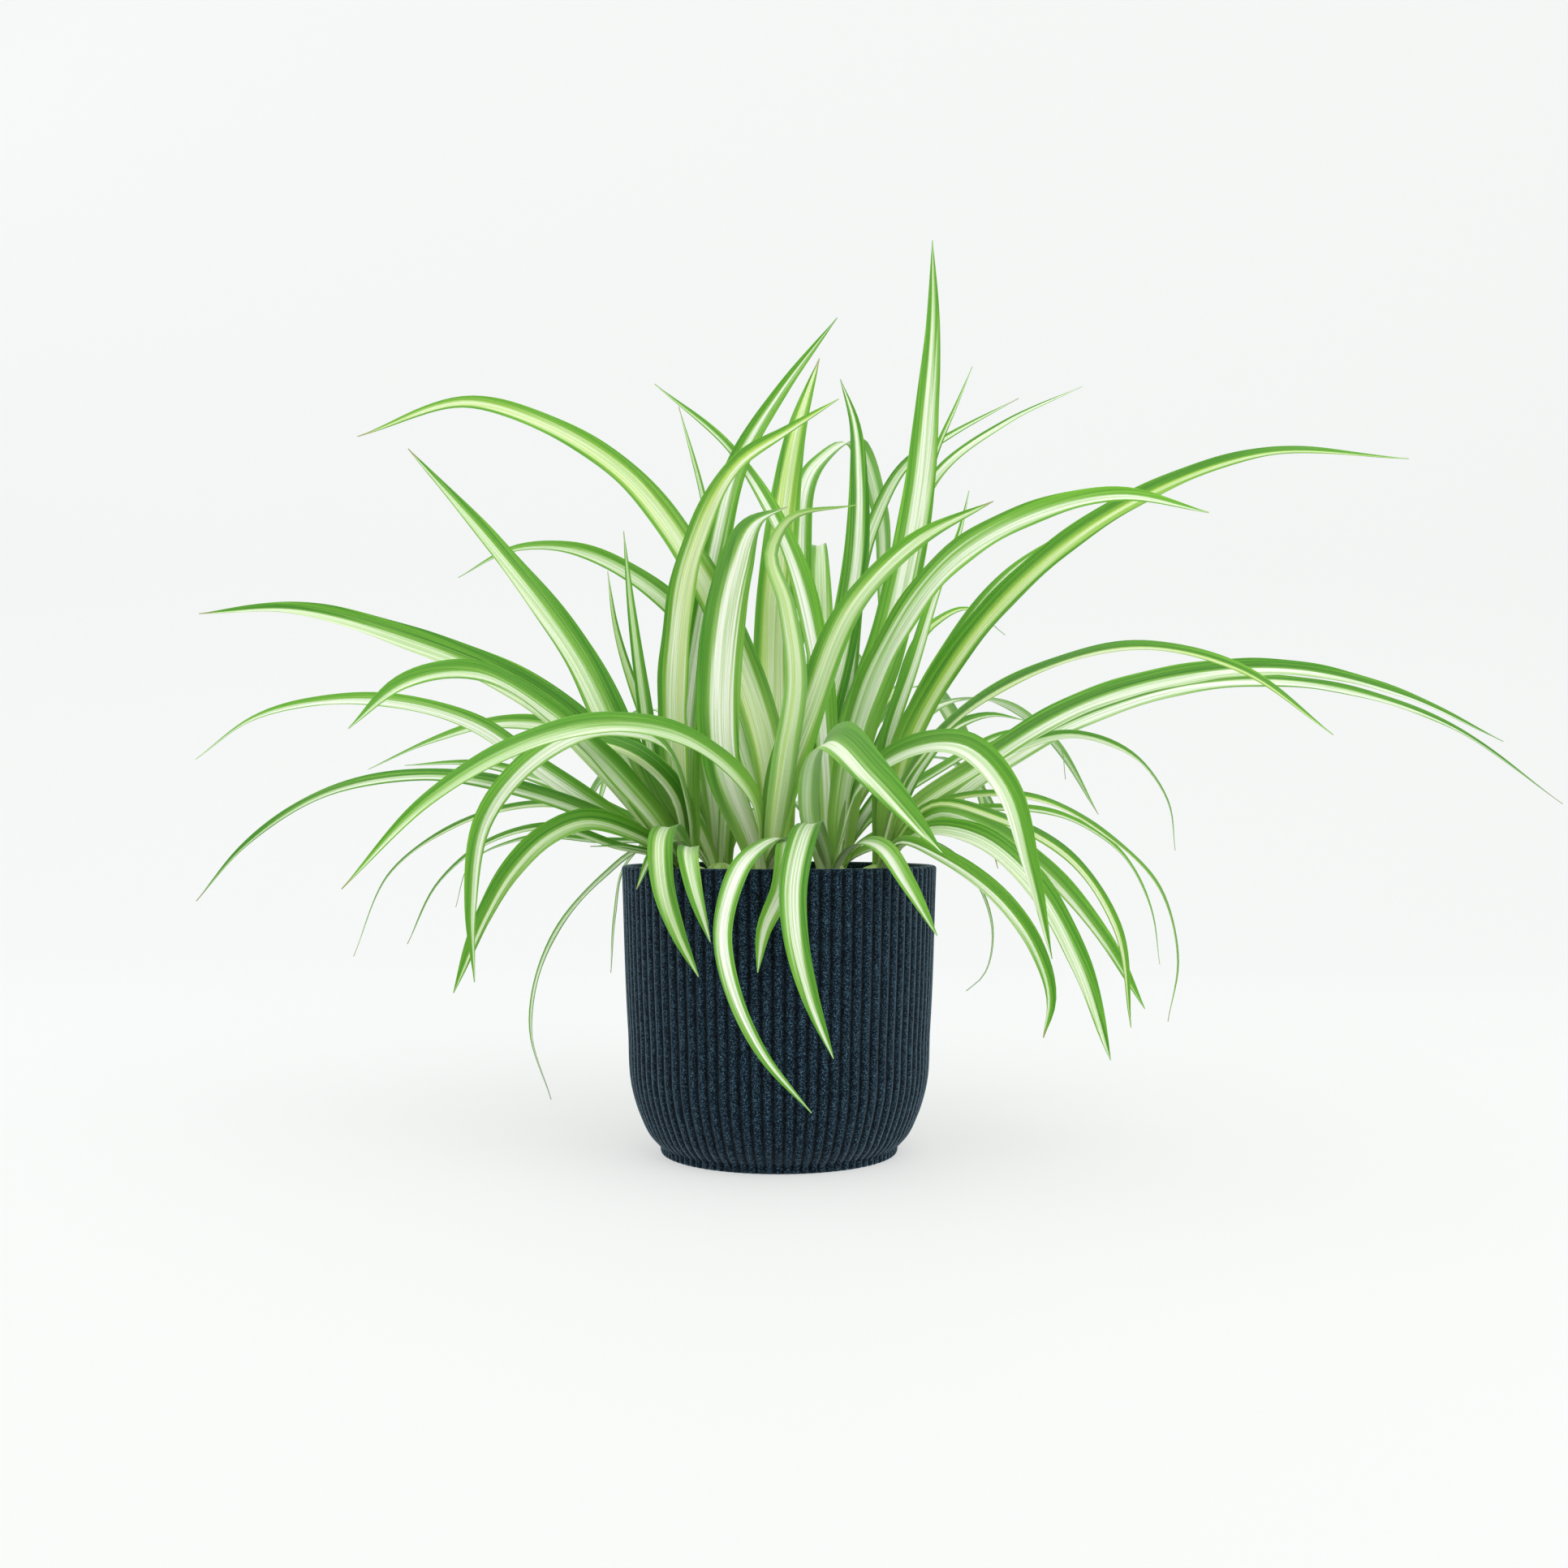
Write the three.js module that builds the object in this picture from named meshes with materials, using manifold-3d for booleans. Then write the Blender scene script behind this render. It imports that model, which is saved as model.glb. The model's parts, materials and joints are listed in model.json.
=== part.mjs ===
// A spider plant in a ribbed pot. Millimetres, +Z up, origin on the pot's axis at the foot of the pot.
// The pot is one moulded shell, the soil fills it, and the plant is seven rosettes of long arched leaves.
import * as THREE from "three";
import Module from "manifold-3d";
import { mergeVertices } from "three/addons/utils/BufferGeometryUtils.js";

const wasm = await Module();
wasm.setup();

// Pot: a round shell with fine upright ribs, a slight taper and a rounded foot.
const POT_HEIGHT = 140;
const RIM_RADIUS = 77.2;
const WALL = 3;
const FLOOR = 4;
const RIBS = 88;
const GROOVE = 0.9;
// The outside, from the foot to the rim: height, radius at the top of the ribs.
const POT_PROFILE = [
  [0, 58],
  [3.6, 58],
  [9, 63],
  [18, 67.6],
  [31, 71.8],
  [60, 74],
  [POT_HEIGHT - 1, RIM_RADIUS],
  [POT_HEIGHT, RIM_RADIUS - 0.5],
];
const INNER_SIDES = 48;

// Soil: it fills the pot to a little under the rim, with a plain hole for each crown.
const SOIL_TOP = 128;
const SOIL_MOUND = 1;
const SEAT_GAP = 0.3;
const SOIL_SIDES = 36;

// Crown: the short pale stock that a rosette's leaves grow from, sunk in the soil.
const CROWN_RADIUS = 10;
const CROWN_FOOT_RADIUS = 6;
const CROWN_SIDES = 10;
const CROWN_TOP_RADIUS = 6;
const CROWN_DEPTH = 26;
const CROWN_SHOULDER = 3;
const CROWN_RISE = 12;
const CROWN_WAIST = 6;

// Root of a leaf: it starts this deep in the crown and leaves it this high above the soil.
const ROOT_DEPTH = 8;
const NECK_RISE = 9;

// Leaves: thickness, tip width, and the length from the root over which neighbours may still be joined.
const LEAF_THICKNESS = 0.7;
const TIP_WIDTH = 1.5;
const MERGED_LENGTH = 28;
const PARTING_LENGTH = 45;

// Stations of a leaf: the length of a straight step, and the length that one radian of bend counts as.
const LEAF_STEP = 53.5;
const BEND_WEIGHT = 45;
const FINE_STEPS = 60;
const FEWEST_STEPS = 4;
const MOST_STEPS = 12;

// Bending clear: the gap kept, how far apart blades are looked at, the part of a leaf that stays with its
// crown, how far down the rim a leaf is lifted over it, and how fast the leaves give way.
const LEAF_GAP = 1.2;
const CONTACT_REACH = 44;
const STILL_LENGTH = 20;
const STILL_SHARE = 0.1;
const RIM_DEPTH = 4;
const CLEARING_PASSES = 70;
const CLEARING_RATE = 0.6;

// Joined blades: edges shorter than about this are closed up.
const SLIVER = 0.02;

// Where each leaf's points are read from: a viewer in front, this far from the axis and this high.
const VIEW_DISTANCE = 829;
const VIEW_HEIGHT = 161;

// Where each crown stands in the soil: x, y.
const CROWNS = {
  rosette_left: [-42, -6],
  rosette_front: [-6, -26],
  rosette_front_right: [25, -22],
  rosette_right: [48, 4],
  rosette_middle: [1, 16],
  rosette_back_left: [-30, 40],
  rosette_back_right: [27, 42],
};

// The leaves that show from the front, as that viewer sees them. Each row is a leaf's width, how full it
// is towards its tip (0 tapers early, 1 late), how far its upper face is turned to the viewer at its root
// and at its tip (degrees), and its points after the crown: across, up, and depth behind the pot's axis,
// the first two as they look at the axis.
const LEAVES = {
  rosette_left: [
    [22, 0.1, 75, 60, [-68, 176, -16], [-100, 243, -22], [-142, 298, -30], [-185, 346, -36]],
    [22, 0.1, 68, 52, [-70, 175, 6], [-112, 218, 20], [-184, 252, 40], [-244, 267, 54], [-287, 264, 60]],
    [20, 0.2, 65, 50, [-76, 187, -26], [-110, 219, -50], [-148, 240, -80], [-184, 234, -106],
      [-209, 212, -122]],
    [14, 0.1, 50, 45, [-76, 159, 8], [-98, 174, 12], [-120, 189, 16], [-149, 209, 21], [-186, 220, 27],
      [-224, 221, 31], [-260, 212, 34], [-288, 192, 36]],
    [12, 0.2, 50, 40, [-78, 158, -8], [-120, 175, -14], [-176, 184, -22], [-224, 175, -28],
      [-264, 149, -32], [-287, 122, -34]],
    [13, 0.5, 48, 42, [-44, 165, -18], [-57, 200, -30], [-88, 208, -52], [-123, 191, -76],
      [-145, 162, -92], [-151, 120, -100], [-149, 83, -100]],
    [14, 0.7, 55, 50, [-74, 157, -22], [-96, 162, -32], [-115, 154, -40], [-132, 137, -45],
      [-145, 115, -48], [-160, 77, -50]],
    [6, 0.2, 45, 45, [-82, 150, 4], [-112, 159, 8], [-144, 151, 10], [-168, 131, 12], [-183, 101, 12]],
    [6, 0.5, 45, 45, [-68, 147, 12], [-86, 134, 18], [-108, 109, 20], [-119, 84, 20], [-122, 58, 18],
      [-112, 24, 14]],
    [5, 0, 40, 40, [-76, 149, -18], [-93, 149, -26]],
    [8, 0.5, 20, 20, [-50, 152, -34], [-62, 146, -54], [-70, 128, -60]],
    [13, 0.8, 10, 10, [-54, 159, -42], [-58, 151, -64], [-56, 127, -76], [-49, 106, -84], [-39, 85, -88]],
    [11, 1, 0, 0, [-44, 149, -46], [-45, 143, -73], [-41, 124, -88], [-34, 102, -92]],
    [22, 0.2, 75, 75, [-52, 190, -16], [-52, 245, -28], [-43, 297, -38], [-20, 340, -44], [3, 355, -44],
      [29, 371, -44]],
    [19, 0.1, 72, 72, [-47, 185, 4], [-42, 240, 14], [-33, 290, 20], [-20, 340, 24], [0, 373, 26],
      [28, 410, 26]],
    [10, 0, 60, 60, [-60, 182, 2], [-68, 230, 8], [-74, 275, 12], [-77, 305, 14]],
    [13, 0.2, 55, 45, [-50, 174, -18], [-68, 191, -20], [-104, 200, -22], [-140, 191, -24],
      [-169, 173, -26]],
  ],
  rosette_front: [
    [15, 0.1, 60, 52, [-12, 172, -38], [-40, 200, -58], [-80, 210, -84], [-126, 200, -110],
      [-173, 172, -132], [-215, 128, -146]],
    [24, 0.8, 10, 0, [-28, 190, -30], [-29, 240, -30], [-22, 285, -20], [-13, 309, -2], [4, 317, 16]],
    [13, 0.2, -45, -25, [3, 190, -40], [9, 232, -44], [4, 270, -48], [-3, 295, -50], [4, 309, -54],
      [39, 318, -58]],
    [20, 0.1, 75, 65, [-4, 186, -20], [-19, 240, -4], [-43, 291, 4], [-78, 335, 4], [-113, 357, 0],
      [-152, 369, -6], [-209, 352, -12]],
    [24, 0.3, 70, 55, [2, 180, -30], [14, 214, -36], [38, 270, -44], [68, 300, -50], [106, 320, -56]],
    [13, 0.7, 0, 0, [6, 149, -48], [7, 142, -75], [4, 124, -85], [-5, 104, -88], [-8, 83, -90]],
    [10, 0.5, 0, 0, [3, 152, -46], [-8, 149, -72], [-20, 135, -96], [-27, 105, -110], [-21, 75, -118],
      [-8, 48, -122], [17, 18, -122]],
  ],
  rosette_front_right: [
    [14, 0.8, 0, 0, [16, 156, -46], [10, 153, -78], [4, 122, -103], [6, 98, -112], [12, 74, -116],
      [24, 42, -116]],
    [12, 0.6, 20, 20, [40, 151, -46], [52, 148, -64], [64, 130, -72], [78, 105, -78]],
    [21, 0.6, 35, 45, [16, 165, -36], [17, 190, -50], [27, 203, -82], [48, 184, -120], [81, 146, -152]],
    [22, 0.2, 70, 60, [34, 188, -30], [53, 244, -46], [86, 290, -66], [128, 314, -88], [171, 323, -106],
      [214, 314, -118]],
    [16, 0.3, 55, 55, [38, 178, -38], [62, 197, -62], [92, 199, -90], [112, 179, -110], [124, 140, -122],
      [134, 94, -126]],
  ],
  rosette_right: [
    [17, 0, 68, 55, [60, 193, -2], [83, 237, -6], [127, 287, -12], [178, 322, -18], [240, 344, -24],
      [312, 341, -28]],
    [12, 0.2, 55, 50, [60, 198, 12], [80, 241, 22], [112, 284, 30], [145, 307, 36]],
    [12, 0.3, 50, 35, [60, 178, -16], [84, 209, -34], [130, 237, -64], [180, 248, -94], [230, 236, -120],
      [274, 204, -138]],
    [14, 0.4, 60, 55, [60, 159, 4], [98, 188, 12], [146, 217, 24], [200, 233, 38], [256, 236, 52],
      [310, 223, 64], [358, 200, 72]],
    [8, 0.9, 45, 40, [66, 169, 26], [112, 196, 44], [148, 204, 58], [178, 191, 66], [192, 170, 70],
      [195, 147, 70]],
    [10, 0.2, 45, 45, [70, 190, 24], [88, 209, 34], [104, 214, 40], [122, 211, 46]],
    [15, 0.9, 50, 50, [74, 158, -18], [101, 153, -32], [120, 138, -40], [148, 92, -44], [163, 44, -46]],
    [15, 0.9, 50, 50, [78, 167, 6], [105, 158, 8], [129, 140, 8], [159, 105, 8], [179, 70, 8]],
    [8, 0.9, 50, 50, [76, 170, -4], [109, 163, -10], [144, 143, -14], [166, 110, -16], [173, 60, -16]],
    [7, 1, 45, 45, [74, 168, 24], [126, 173, 38], [161, 155, 50], [188, 127, 58], [196, 93, 60],
      [191, 63, 60]],
    [10, 1, 50, 50, [60, 152, -20], [80, 145, -34], [112, 121, -46], [127, 99, -50], [134, 72, -52],
      [130, 55, -52]],
    [4, 0.3, 45, 45, [64, 152, 6], [86, 145, 12], [101, 124, 16], [105, 104, 16], [100, 85, 14],
      [92, 78, 12]],
    [10, 0.1, 60, 60, [54, 200, 16], [67, 240, 28], [80, 280, 38], [90, 304, 42], [95, 325, 44]],
  ],
  rosette_middle: [
    [25, 0.3, 12, 12, [-3, 190, 27], [-4, 250, 44], [0, 310, 62], [7, 356, 76], [18, 391, 88]],
    [8, 0.2, 40, 40, [2, 190, 12], [5, 241, 14]],
    [15, 0.4, 60, 50, [-12, 190, 26], [-32, 246, 30], [-64, 279, 36], [-104, 297, 44], [-130, 296, 52],
      [-157, 282, 58]],
  ],
  rosette_back_left: [
    [14, 0.2, 55, 45, [-70, 182, 60], [-104, 206, 78], [-140, 210, 94], [-172, 201, 106], [-203, 187, 114]],
    [7, 0.5, 30, 30, [-60, 154, 50], [-76, 140, 54], [-81, 115, 54], [-83, 87, 52]],
    [9, 0.1, 60, 60, [-26, 190, 52], [-28, 260, 66], [-37, 319, 78], [-50, 367, 88]],
    [8, 0.1, 60, 60, [-50, 178, 46], [-71, 225, 54], [-81, 258, 60], [-85, 285, 64]],
    [10, 0.2, 45, 45, [-82, 166, 48], [-112, 180, 62], [-150, 190, 78], [-185, 189, 90]],
    [6, 0.3, 45, 45, [-72, 160, 54], [-112, 170, 74], [-160, 159, 94], [-192, 135, 106], [-209, 95, 112]],
    [5, 0.2, 40, 40, [-92, 152, 66], [-130, 152, 84], [-154, 139, 96], [-160, 119, 100]],
  ],
  rosette_back_right: [
    [24, 0.1, 75, 60, [35, 205, 50], [50, 247, 58], [60, 287, 64], [67, 327, 68], [71, 367, 72],
      [74, 407, 76], [74, 451, 80]],
    [17, 0.5, 8, 0, [14, 190, 42], [26, 250, 50], [33, 295, 52], [34, 330, 54], [32, 358, 58],
      [25, 380, 62]],
    [14, 0.9, 60, -45, [10, 200, 66], [12, 280, 92], [21, 339, 116], [38, 350, 130], [51, 318, 138],
      [53, 270, 140], [53, 236, 138]],
    [20, 0.1, 60, 55, [19, 190, 40], [13, 250, 34], [3, 290, 31], [-10, 318, 29], [-28, 345, 27],
      [-66, 378, 22]],
    [18, 1, 0, 0, [21, 190, 96], [20, 250, 122], [19, 289, 142], [19, 300, 164], [19, 284, 192]],
    [14, 0.1, 50, 45, [60, 154, 46], [100, 184, 66], [150, 212, 88], [210, 229, 110], [270, 228, 128],
      [330, 209, 142], [386, 170, 150]],
    [6, 0.6, 45, 45, [62, 162, 58], [100, 168, 74], [143, 163, 90], [170, 144, 100], [183, 118, 104],
      [187, 91, 104]],
    [7, 0.3, 40, 40, [80, 190, 80], [120, 206, 104], [136, 200, 112], [139, 183, 114]],
    [9, 0.3, 40, 40, [56, 210, 74], [76, 258, 96], [94, 266, 108], [112, 253, 116]],
    [11, 0.1, 55, 50, [34, 230, 68], [46, 306, 88], [63, 338, 102], [84, 352, 116], [119, 371, 130]],
    [11, 0.1, 55, 50, [44, 220, 78], [62, 300, 102], [78, 333, 112], [112, 359, 124], [150, 377, 136]],
    [9, 0.1, 60, 60, [48, 240, 72], [66, 300, 84], [77, 345, 88], [87, 368, 90], [95, 387, 92]],
  ],
};

// The leaves of the far side, which arch away from the viewer, are all this full towards their tips.
const FAR_FULLNESS = 0.2;

// The leaves of the far side, which arch away from the viewer: width, direction in plan (degrees from +X
// towards +Y), reach from the crown, height of the arch and height of the tip above the ground.
const FAR_LEAVES = {
  rosette_middle: [
    [15, 70, 190, 256, 214],
    [16, 108, 200, 262, 226],
  ],
  rosette_back_left: [
    [17, 92, 250, 236, 120],
    [14, 112, 250, 226, 160],
    [13, 104, 190, 190, 84],
    [12, 122, 170, 200, 156],
    [15, 98, 300, 262, 180],
    [11, 80, 150, 168, 70],
  ],
  rosette_back_right: [
    [17, 62, 260, 240, 130],
    [15, 46, 250, 232, 166],
    [13, 94, 200, 186, 82],
    [12, 42, 130, 196, 150],
    [15, 100, 310, 270, 190],
    [11, 104, 150, 172, 74],
  ],
};

// Colours, as seen on the photograph's plant.
const NAVY = 0x1d2b3b;
const EARTH = 0x33261d;
const GREENS = [0x5f9a35, 0x6aa53c, 0x75ad45, 0x5c9433, 0x69a03f, 0x55902f, 0x639b3a];

/** A smooth rise from 0 to 1 as x goes from 0 to 1. */
function smooth(x) {
  const t = Math.min(1, Math.max(0, x));
  return t * t * (3 - 2 * t);
}

/** The point that the front viewer sees at (across, up) on the axis plane, moved to its real depth. */
function seen([across, up, depth]) {
  const k = 1 + depth / VIEW_DISTANCE;
  return new THREE.Vector3(across * k, depth, VIEW_HEIGHT + (up - VIEW_HEIGHT) * k);
}

/** Points of a leaf that arches away from its crown in a straight line in plan. */
function archPoints([x, y], [, direction, reach, top, end]) {
  const a = THREE.MathUtils.degToRad(direction);
  const bends = [
    [0.16, SOIL_TOP + 0.62 * (top - SOIL_TOP)],
    [0.36, SOIL_TOP + 0.94 * (top - SOIL_TOP)],
    [0.56, top],
    [0.8, top - 0.32 * (top - end)],
    [1, end],
  ];
  return bends.map(
    ([share, z]) => new THREE.Vector3(x + share * reach * Math.cos(a), y + share * reach * Math.sin(a), z),
  );
}

/** A point on the smooth curve through the points: cubic pieces whose slope at each point is the slope of
 * the parabola through it and its two neighbours, measured along the chords. */
function onCurve(points, knots, slopes, at) {
  let i = 0;
  while (i < points.length - 2 && knots[i + 1] < at) i++;
  const h = knots[i + 1] - knots[i];
  const t = (at - knots[i]) / h;
  const t2 = t * t;
  const t3 = t2 * t;
  return new THREE.Vector3()
    .addScaledVector(points[i], 2 * t3 - 3 * t2 + 1)
    .addScaledVector(slopes[i], h * (t3 - 2 * t2 + t))
    .addScaledVector(points[i + 1], 3 * t2 - 2 * t3)
    .addScaledVector(slopes[i + 1], h * (t3 - t2));
}

/** Stations along the smooth curve through the points, closer together where it bends, with the share of
 * the length at each. */
function stationsThrough(points) {
  const knots = [0];
  for (let i = 1; i < points.length; i++) knots.push(knots[i - 1] + points[i].distanceTo(points[i - 1]));
  const chords = points.slice(1).map((p, i) => {
    return p.clone().sub(points[i]).divideScalar(knots[i + 1] - knots[i]);
  });
  const slopes = points.map((p, i) => {
    if (i === 0) return chords[0].clone();
    if (i === points.length - 1) return chords[i - 1].clone();
    const before = knots[i] - knots[i - 1];
    const after = knots[i + 1] - knots[i];
    const slope = chords[i - 1].clone().multiplyScalar(after).addScaledVector(chords[i], before);
    return slope.divideScalar(before + after);
  });
  const fine = [];
  for (let n = 0; n <= FINE_STEPS; n++) {
    fine.push(onCurve(points, knots, slopes, (knots[knots.length - 1] * n) / FINE_STEPS));
  }
  const lengths = [0];
  const measures = [0];
  for (let n = 1; n <= FINE_STEPS; n++) {
    const step = fine[n].clone().sub(fine[n - 1]);
    const before = n > 1 ? fine[n - 1].clone().sub(fine[n - 2]) : step;
    lengths.push(lengths[n - 1] + step.length());
    measures.push(measures[n - 1] + step.length() + BEND_WEIGHT * step.angleTo(before));
  }
  const length = lengths[FINE_STEPS];
  const whole = measures[FINE_STEPS];
  const steps = Math.min(MOST_STEPS, Math.max(FEWEST_STEPS, Math.round(whole / LEAF_STEP)));
  const stations = [];
  const shares = [];
  for (let k = 0; k <= steps; k++) {
    const at = (whole * k) / steps;
    let n = 1;
    while (n < FINE_STEPS && measures[n] < at) n++;
    const t = (at - measures[n - 1]) / (measures[n] - measures[n - 1]);
    stations.push(fine[n - 1].clone().lerp(fine[n], t));
    shares.push((lengths[n - 1] + t * (lengths[n] - lengths[n - 1])) / length);
  }
  return { stations, shares, length };
}

/** A leaf before it is meshed: its stations, width and turn, from its crown outwards. */
function plannedLeaf(rosette, width, fullness, rootTurn, tipTurn, points) {
  const [x, y] = CROWNS[rosette];
  const out = new THREE.Vector3(points[0].x - x, points[0].y - y, 0);
  const lean = out.length() / (points[0].z - SOIL_TOP);
  out.normalize().multiplyScalar(Math.min(0.55, 0.3 + 0.15 * lean) * CROWN_RADIUS);
  const foot = new THREE.Vector3(x + 0.4 * out.x, y + 0.4 * out.y, SOIL_TOP - ROOT_DEPTH);
  const neck = new THREE.Vector3(x + out.x, y + out.y, SOIL_TOP + NECK_RISE);
  const path = stationsThrough([foot, neck, ...points]);
  const tip = points[points.length - 1];
  const across = new THREE.Vector3(-(tip.y - y), tip.x - x, 0).normalize();
  return { rosette, width, fullness, rootTurn, tipTurn, ...path, across };
}

/** Half of a leaf's flat width at a share s of its length: narrow at the root, then wider, then tapered
 * to a fine tip. A fuller leaf is widest nearer its tip. */
function halfWidth(leaf, s) {
  const full = leaf.fullness;
  const root = 0.72 - 0.34 * full;
  const rise = root + (1 - root) * smooth(s / (0.26 + 0.36 * full));
  const taper = Math.pow(Math.max(0, 1 - Math.pow(s, 2.3 + 3.2 * full)), 0.9);
  return Math.max(TIP_WIDTH, leaf.width * rise * taper) / 2;
}

/** How far each half of the blade is folded up from flat, in radians: a deep keel at the root, a shallow
 * channel in the middle, a little deeper again at the tip. */
function foldAngle(s) {
  return THREE.MathUtils.degToRad(15 + 20 * (1 - smooth(s / 0.3)) + 8 * s * s);
}

/** The blade's directions at every station: along it, across it and out of its upper face. */
function frames(leaf) {
  const last = leaf.stations.length - 1;
  const side = leaf.across.y >= 0 ? 1 : -1;
  return leaf.stations.map((p, i) => {
    const before = leaf.stations[Math.max(0, i - 1)];
    const after = leaf.stations[Math.min(last, i + 1)];
    const along = after.clone().sub(before).normalize();
    const across = leaf.across.clone().addScaledVector(along, -leaf.across.dot(along)).normalize();
    const s = leaf.shares[i];
    const turn = side * THREE.MathUtils.degToRad(leaf.rootTurn + (leaf.tipTurn - leaf.rootTurn) * s);
    across.applyAxisAngle(along, turn * smooth(s / 0.15));
    return { along, across, up: along.clone().cross(across) };
  });
}

/** How far a blade's section reaches from its centre line in direction d. The section is a shallow V with
 * its midrib half the V's depth under the centre line and its edges as far above it. */
function reachOf(leaf, frame, s, d) {
  const half = halfWidth(leaf, s);
  const fold = foldAngle(s);
  const rib = -0.5 * half * Math.sin(fold) * frame.up.dot(d);
  const edge = Math.abs(frame.across.dot(d)) * half * Math.cos(fold) - rib;
  return Math.max(rib, edge) + (0.5 * LEAF_THICKNESS) / Math.cos(fold);
}

/** The shares along two segments, p to p + u and q to q + v, where they lie closest. */
function closestShares(p, u, q, v) {
  const w = p.clone().sub(q);
  const a = u.dot(u);
  const b = u.dot(v);
  const c = v.dot(v);
  const d = u.dot(w);
  const e = v.dot(w);
  const det = a * c - b * b;
  let s = det > 1e-9 ? Math.min(1, Math.max(0, (b * e - c * d) / det)) : 0.5;
  const t = Math.min(1, Math.max(0, (b * s + e) / c));
  s = Math.min(1, Math.max(0, (b * t - d) / a));
  return [s, t];
}

/** Swings a leaf by a move at one share of its length: nothing at the root, all of it there and beyond. */
function swing(leaf, moves, at, move) {
  leaf.shares.forEach((s, i) => moves[i].addScaledVector(move, smooth(s / Math.max(STILL_SHARE, at))));
}

/** The worst place where two leaves come closer than their blades allow, or nothing. */
function worstContact(one, two) {
  const oneFrames = one.frames;
  const twoFrames = two.frames;
  const m = one.stations.length - 1;
  const n = two.stations.length - 1;
  let worst = null;
  for (let i = 0; i < m; i++) {
    const p = one.stations[i];
    const u = one.stations[i + 1].clone().sub(p);
    for (let j = 0; j < n; j++) {
      const q = two.stations[j];
      const v = two.stations[j + 1].clone().sub(q);
      const [s, t] = closestShares(p, u, q, v);
      const apart = q.clone().addScaledVector(v, t).sub(p).addScaledVector(u, -s);
      const distance = apart.length();
      if (distance > CONTACT_REACH || distance < 1e-6) continue;
      const d = apart.divideScalar(distance);
      const atOne = one.shares[i] + s * (one.shares[i + 1] - one.shares[i]);
      const atTwo = two.shares[j] + t * (two.shares[j + 1] - two.shares[j]);
      const f = oneFrames[Math.round(i + s)];
      const g = twoFrames[Math.round(j + t)];
      let need = reachOf(one, f, atOne, d) + reachOf(two, g, atTwo, d.clone().negate()) + LEAF_GAP;
      if (one.rosette === two.rosette) {
        const free = Math.min(atOne * one.length, atTwo * two.length);
        need *= smooth((free - MERGED_LENGTH) / PARTING_LENGTH);
      }
      const short = need - distance;
      if (short > 0 && (!worst || short > worst.short)) worst = { short, d, atOne, atTwo };
    }
  }
  return worst;
}

/** Lifts and pushes a leaf off the pot's rim and wall. */
function clearOfPot(leaf, moves) {
  const last = leaf.stations.length - 1;
  const middle = RIM_RADIUS - WALL / 2;
  for (let i = 0; i < last; i++) {
    for (let part = 0; part < 4; part++) {
      const at = leaf.shares[i] + (part / 4) * (leaf.shares[i + 1] - leaf.shares[i]);
      if (at * leaf.length < STILL_LENGTH) continue;
      const p = leaf.stations[i].clone().lerp(leaf.stations[i + 1], part / 4);
      const radius = Math.hypot(p.x, p.y);
      const frame = leaf.frames[Math.round(i + part / 4)];
      const outward = new THREE.Vector3(p.x / radius, p.y / radius, 0);
      const upNeed = reachOf(leaf, frame, at, new THREE.Vector3(0, 0, -1)) + LEAF_GAP;
      const outNeed = reachOf(leaf, frame, at, outward.clone().negate()) + LEAF_GAP;
      if (p.z > POT_HEIGHT - RIM_DEPTH && Math.abs(radius - middle) < WALL / 2 + outNeed) {
        const short = POT_HEIGHT + upNeed - p.z;
        if (short > 0) swing(leaf, moves, at, new THREE.Vector3(0, 0, 0.5 * short));
      } else if (p.z <= POT_HEIGHT - RIM_DEPTH && radius > middle) {
        const short = RIM_RADIUS + outNeed - radius;
        if (short > 0) swing(leaf, moves, at, outward.multiplyScalar(0.5 * short));
      }
    }
  }
}

/** Bends every leaf clear of every other and of the pot, in small steps shared by the two that meet. */
function bendClear(leaves) {
  for (let pass = 0; pass < CLEARING_PASSES; pass++) {
    const moves = leaves.map((leaf) => leaf.stations.map(() => new THREE.Vector3()));
    for (const leaf of leaves) leaf.frames = frames(leaf);
    for (let a = 0; a < leaves.length; a++) {
      for (let b = a + 1; b < leaves.length; b++) {
        const contact = worstContact(leaves[a], leaves[b]);
        if (!contact) continue;
        const push = 0.5 * CLEARING_RATE * contact.short;
        swing(leaves[a], moves[a], contact.atOne, contact.d.clone().multiplyScalar(-push));
        swing(leaves[b], moves[b], contact.atTwo, contact.d.clone().multiplyScalar(push));
      }
      clearOfPot(leaves[a], moves[a]);
    }
    leaves.forEach((leaf, a) => leaf.stations.forEach((p, i) => p.add(moves[a][i])));
  }
}

/** A solid from corner positions and triangles. */
function solid(corners, triangles) {
  return new wasm.Manifold(
    new wasm.Mesh({
      numProp: 3,
      vertProperties: new Float32Array(corners.flatMap((p) => [p.x, p.y, p.z])),
      triVerts: new Uint32Array(triangles),
    }),
  );
}

/** A solid from a closed three.js geometry. */
function solidOf(geometry) {
  const bare = geometry.clone();
  bare.deleteAttribute("normal");
  bare.deleteAttribute("uv");
  const merged = mergeVertices(bare, 1e-4);
  return new wasm.Manifold(
    new wasm.Mesh({
      numProp: 3,
      vertProperties: merged.attributes.position.array,
      triVerts: new Uint32Array(merged.index.array),
    }),
  );
}

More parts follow.
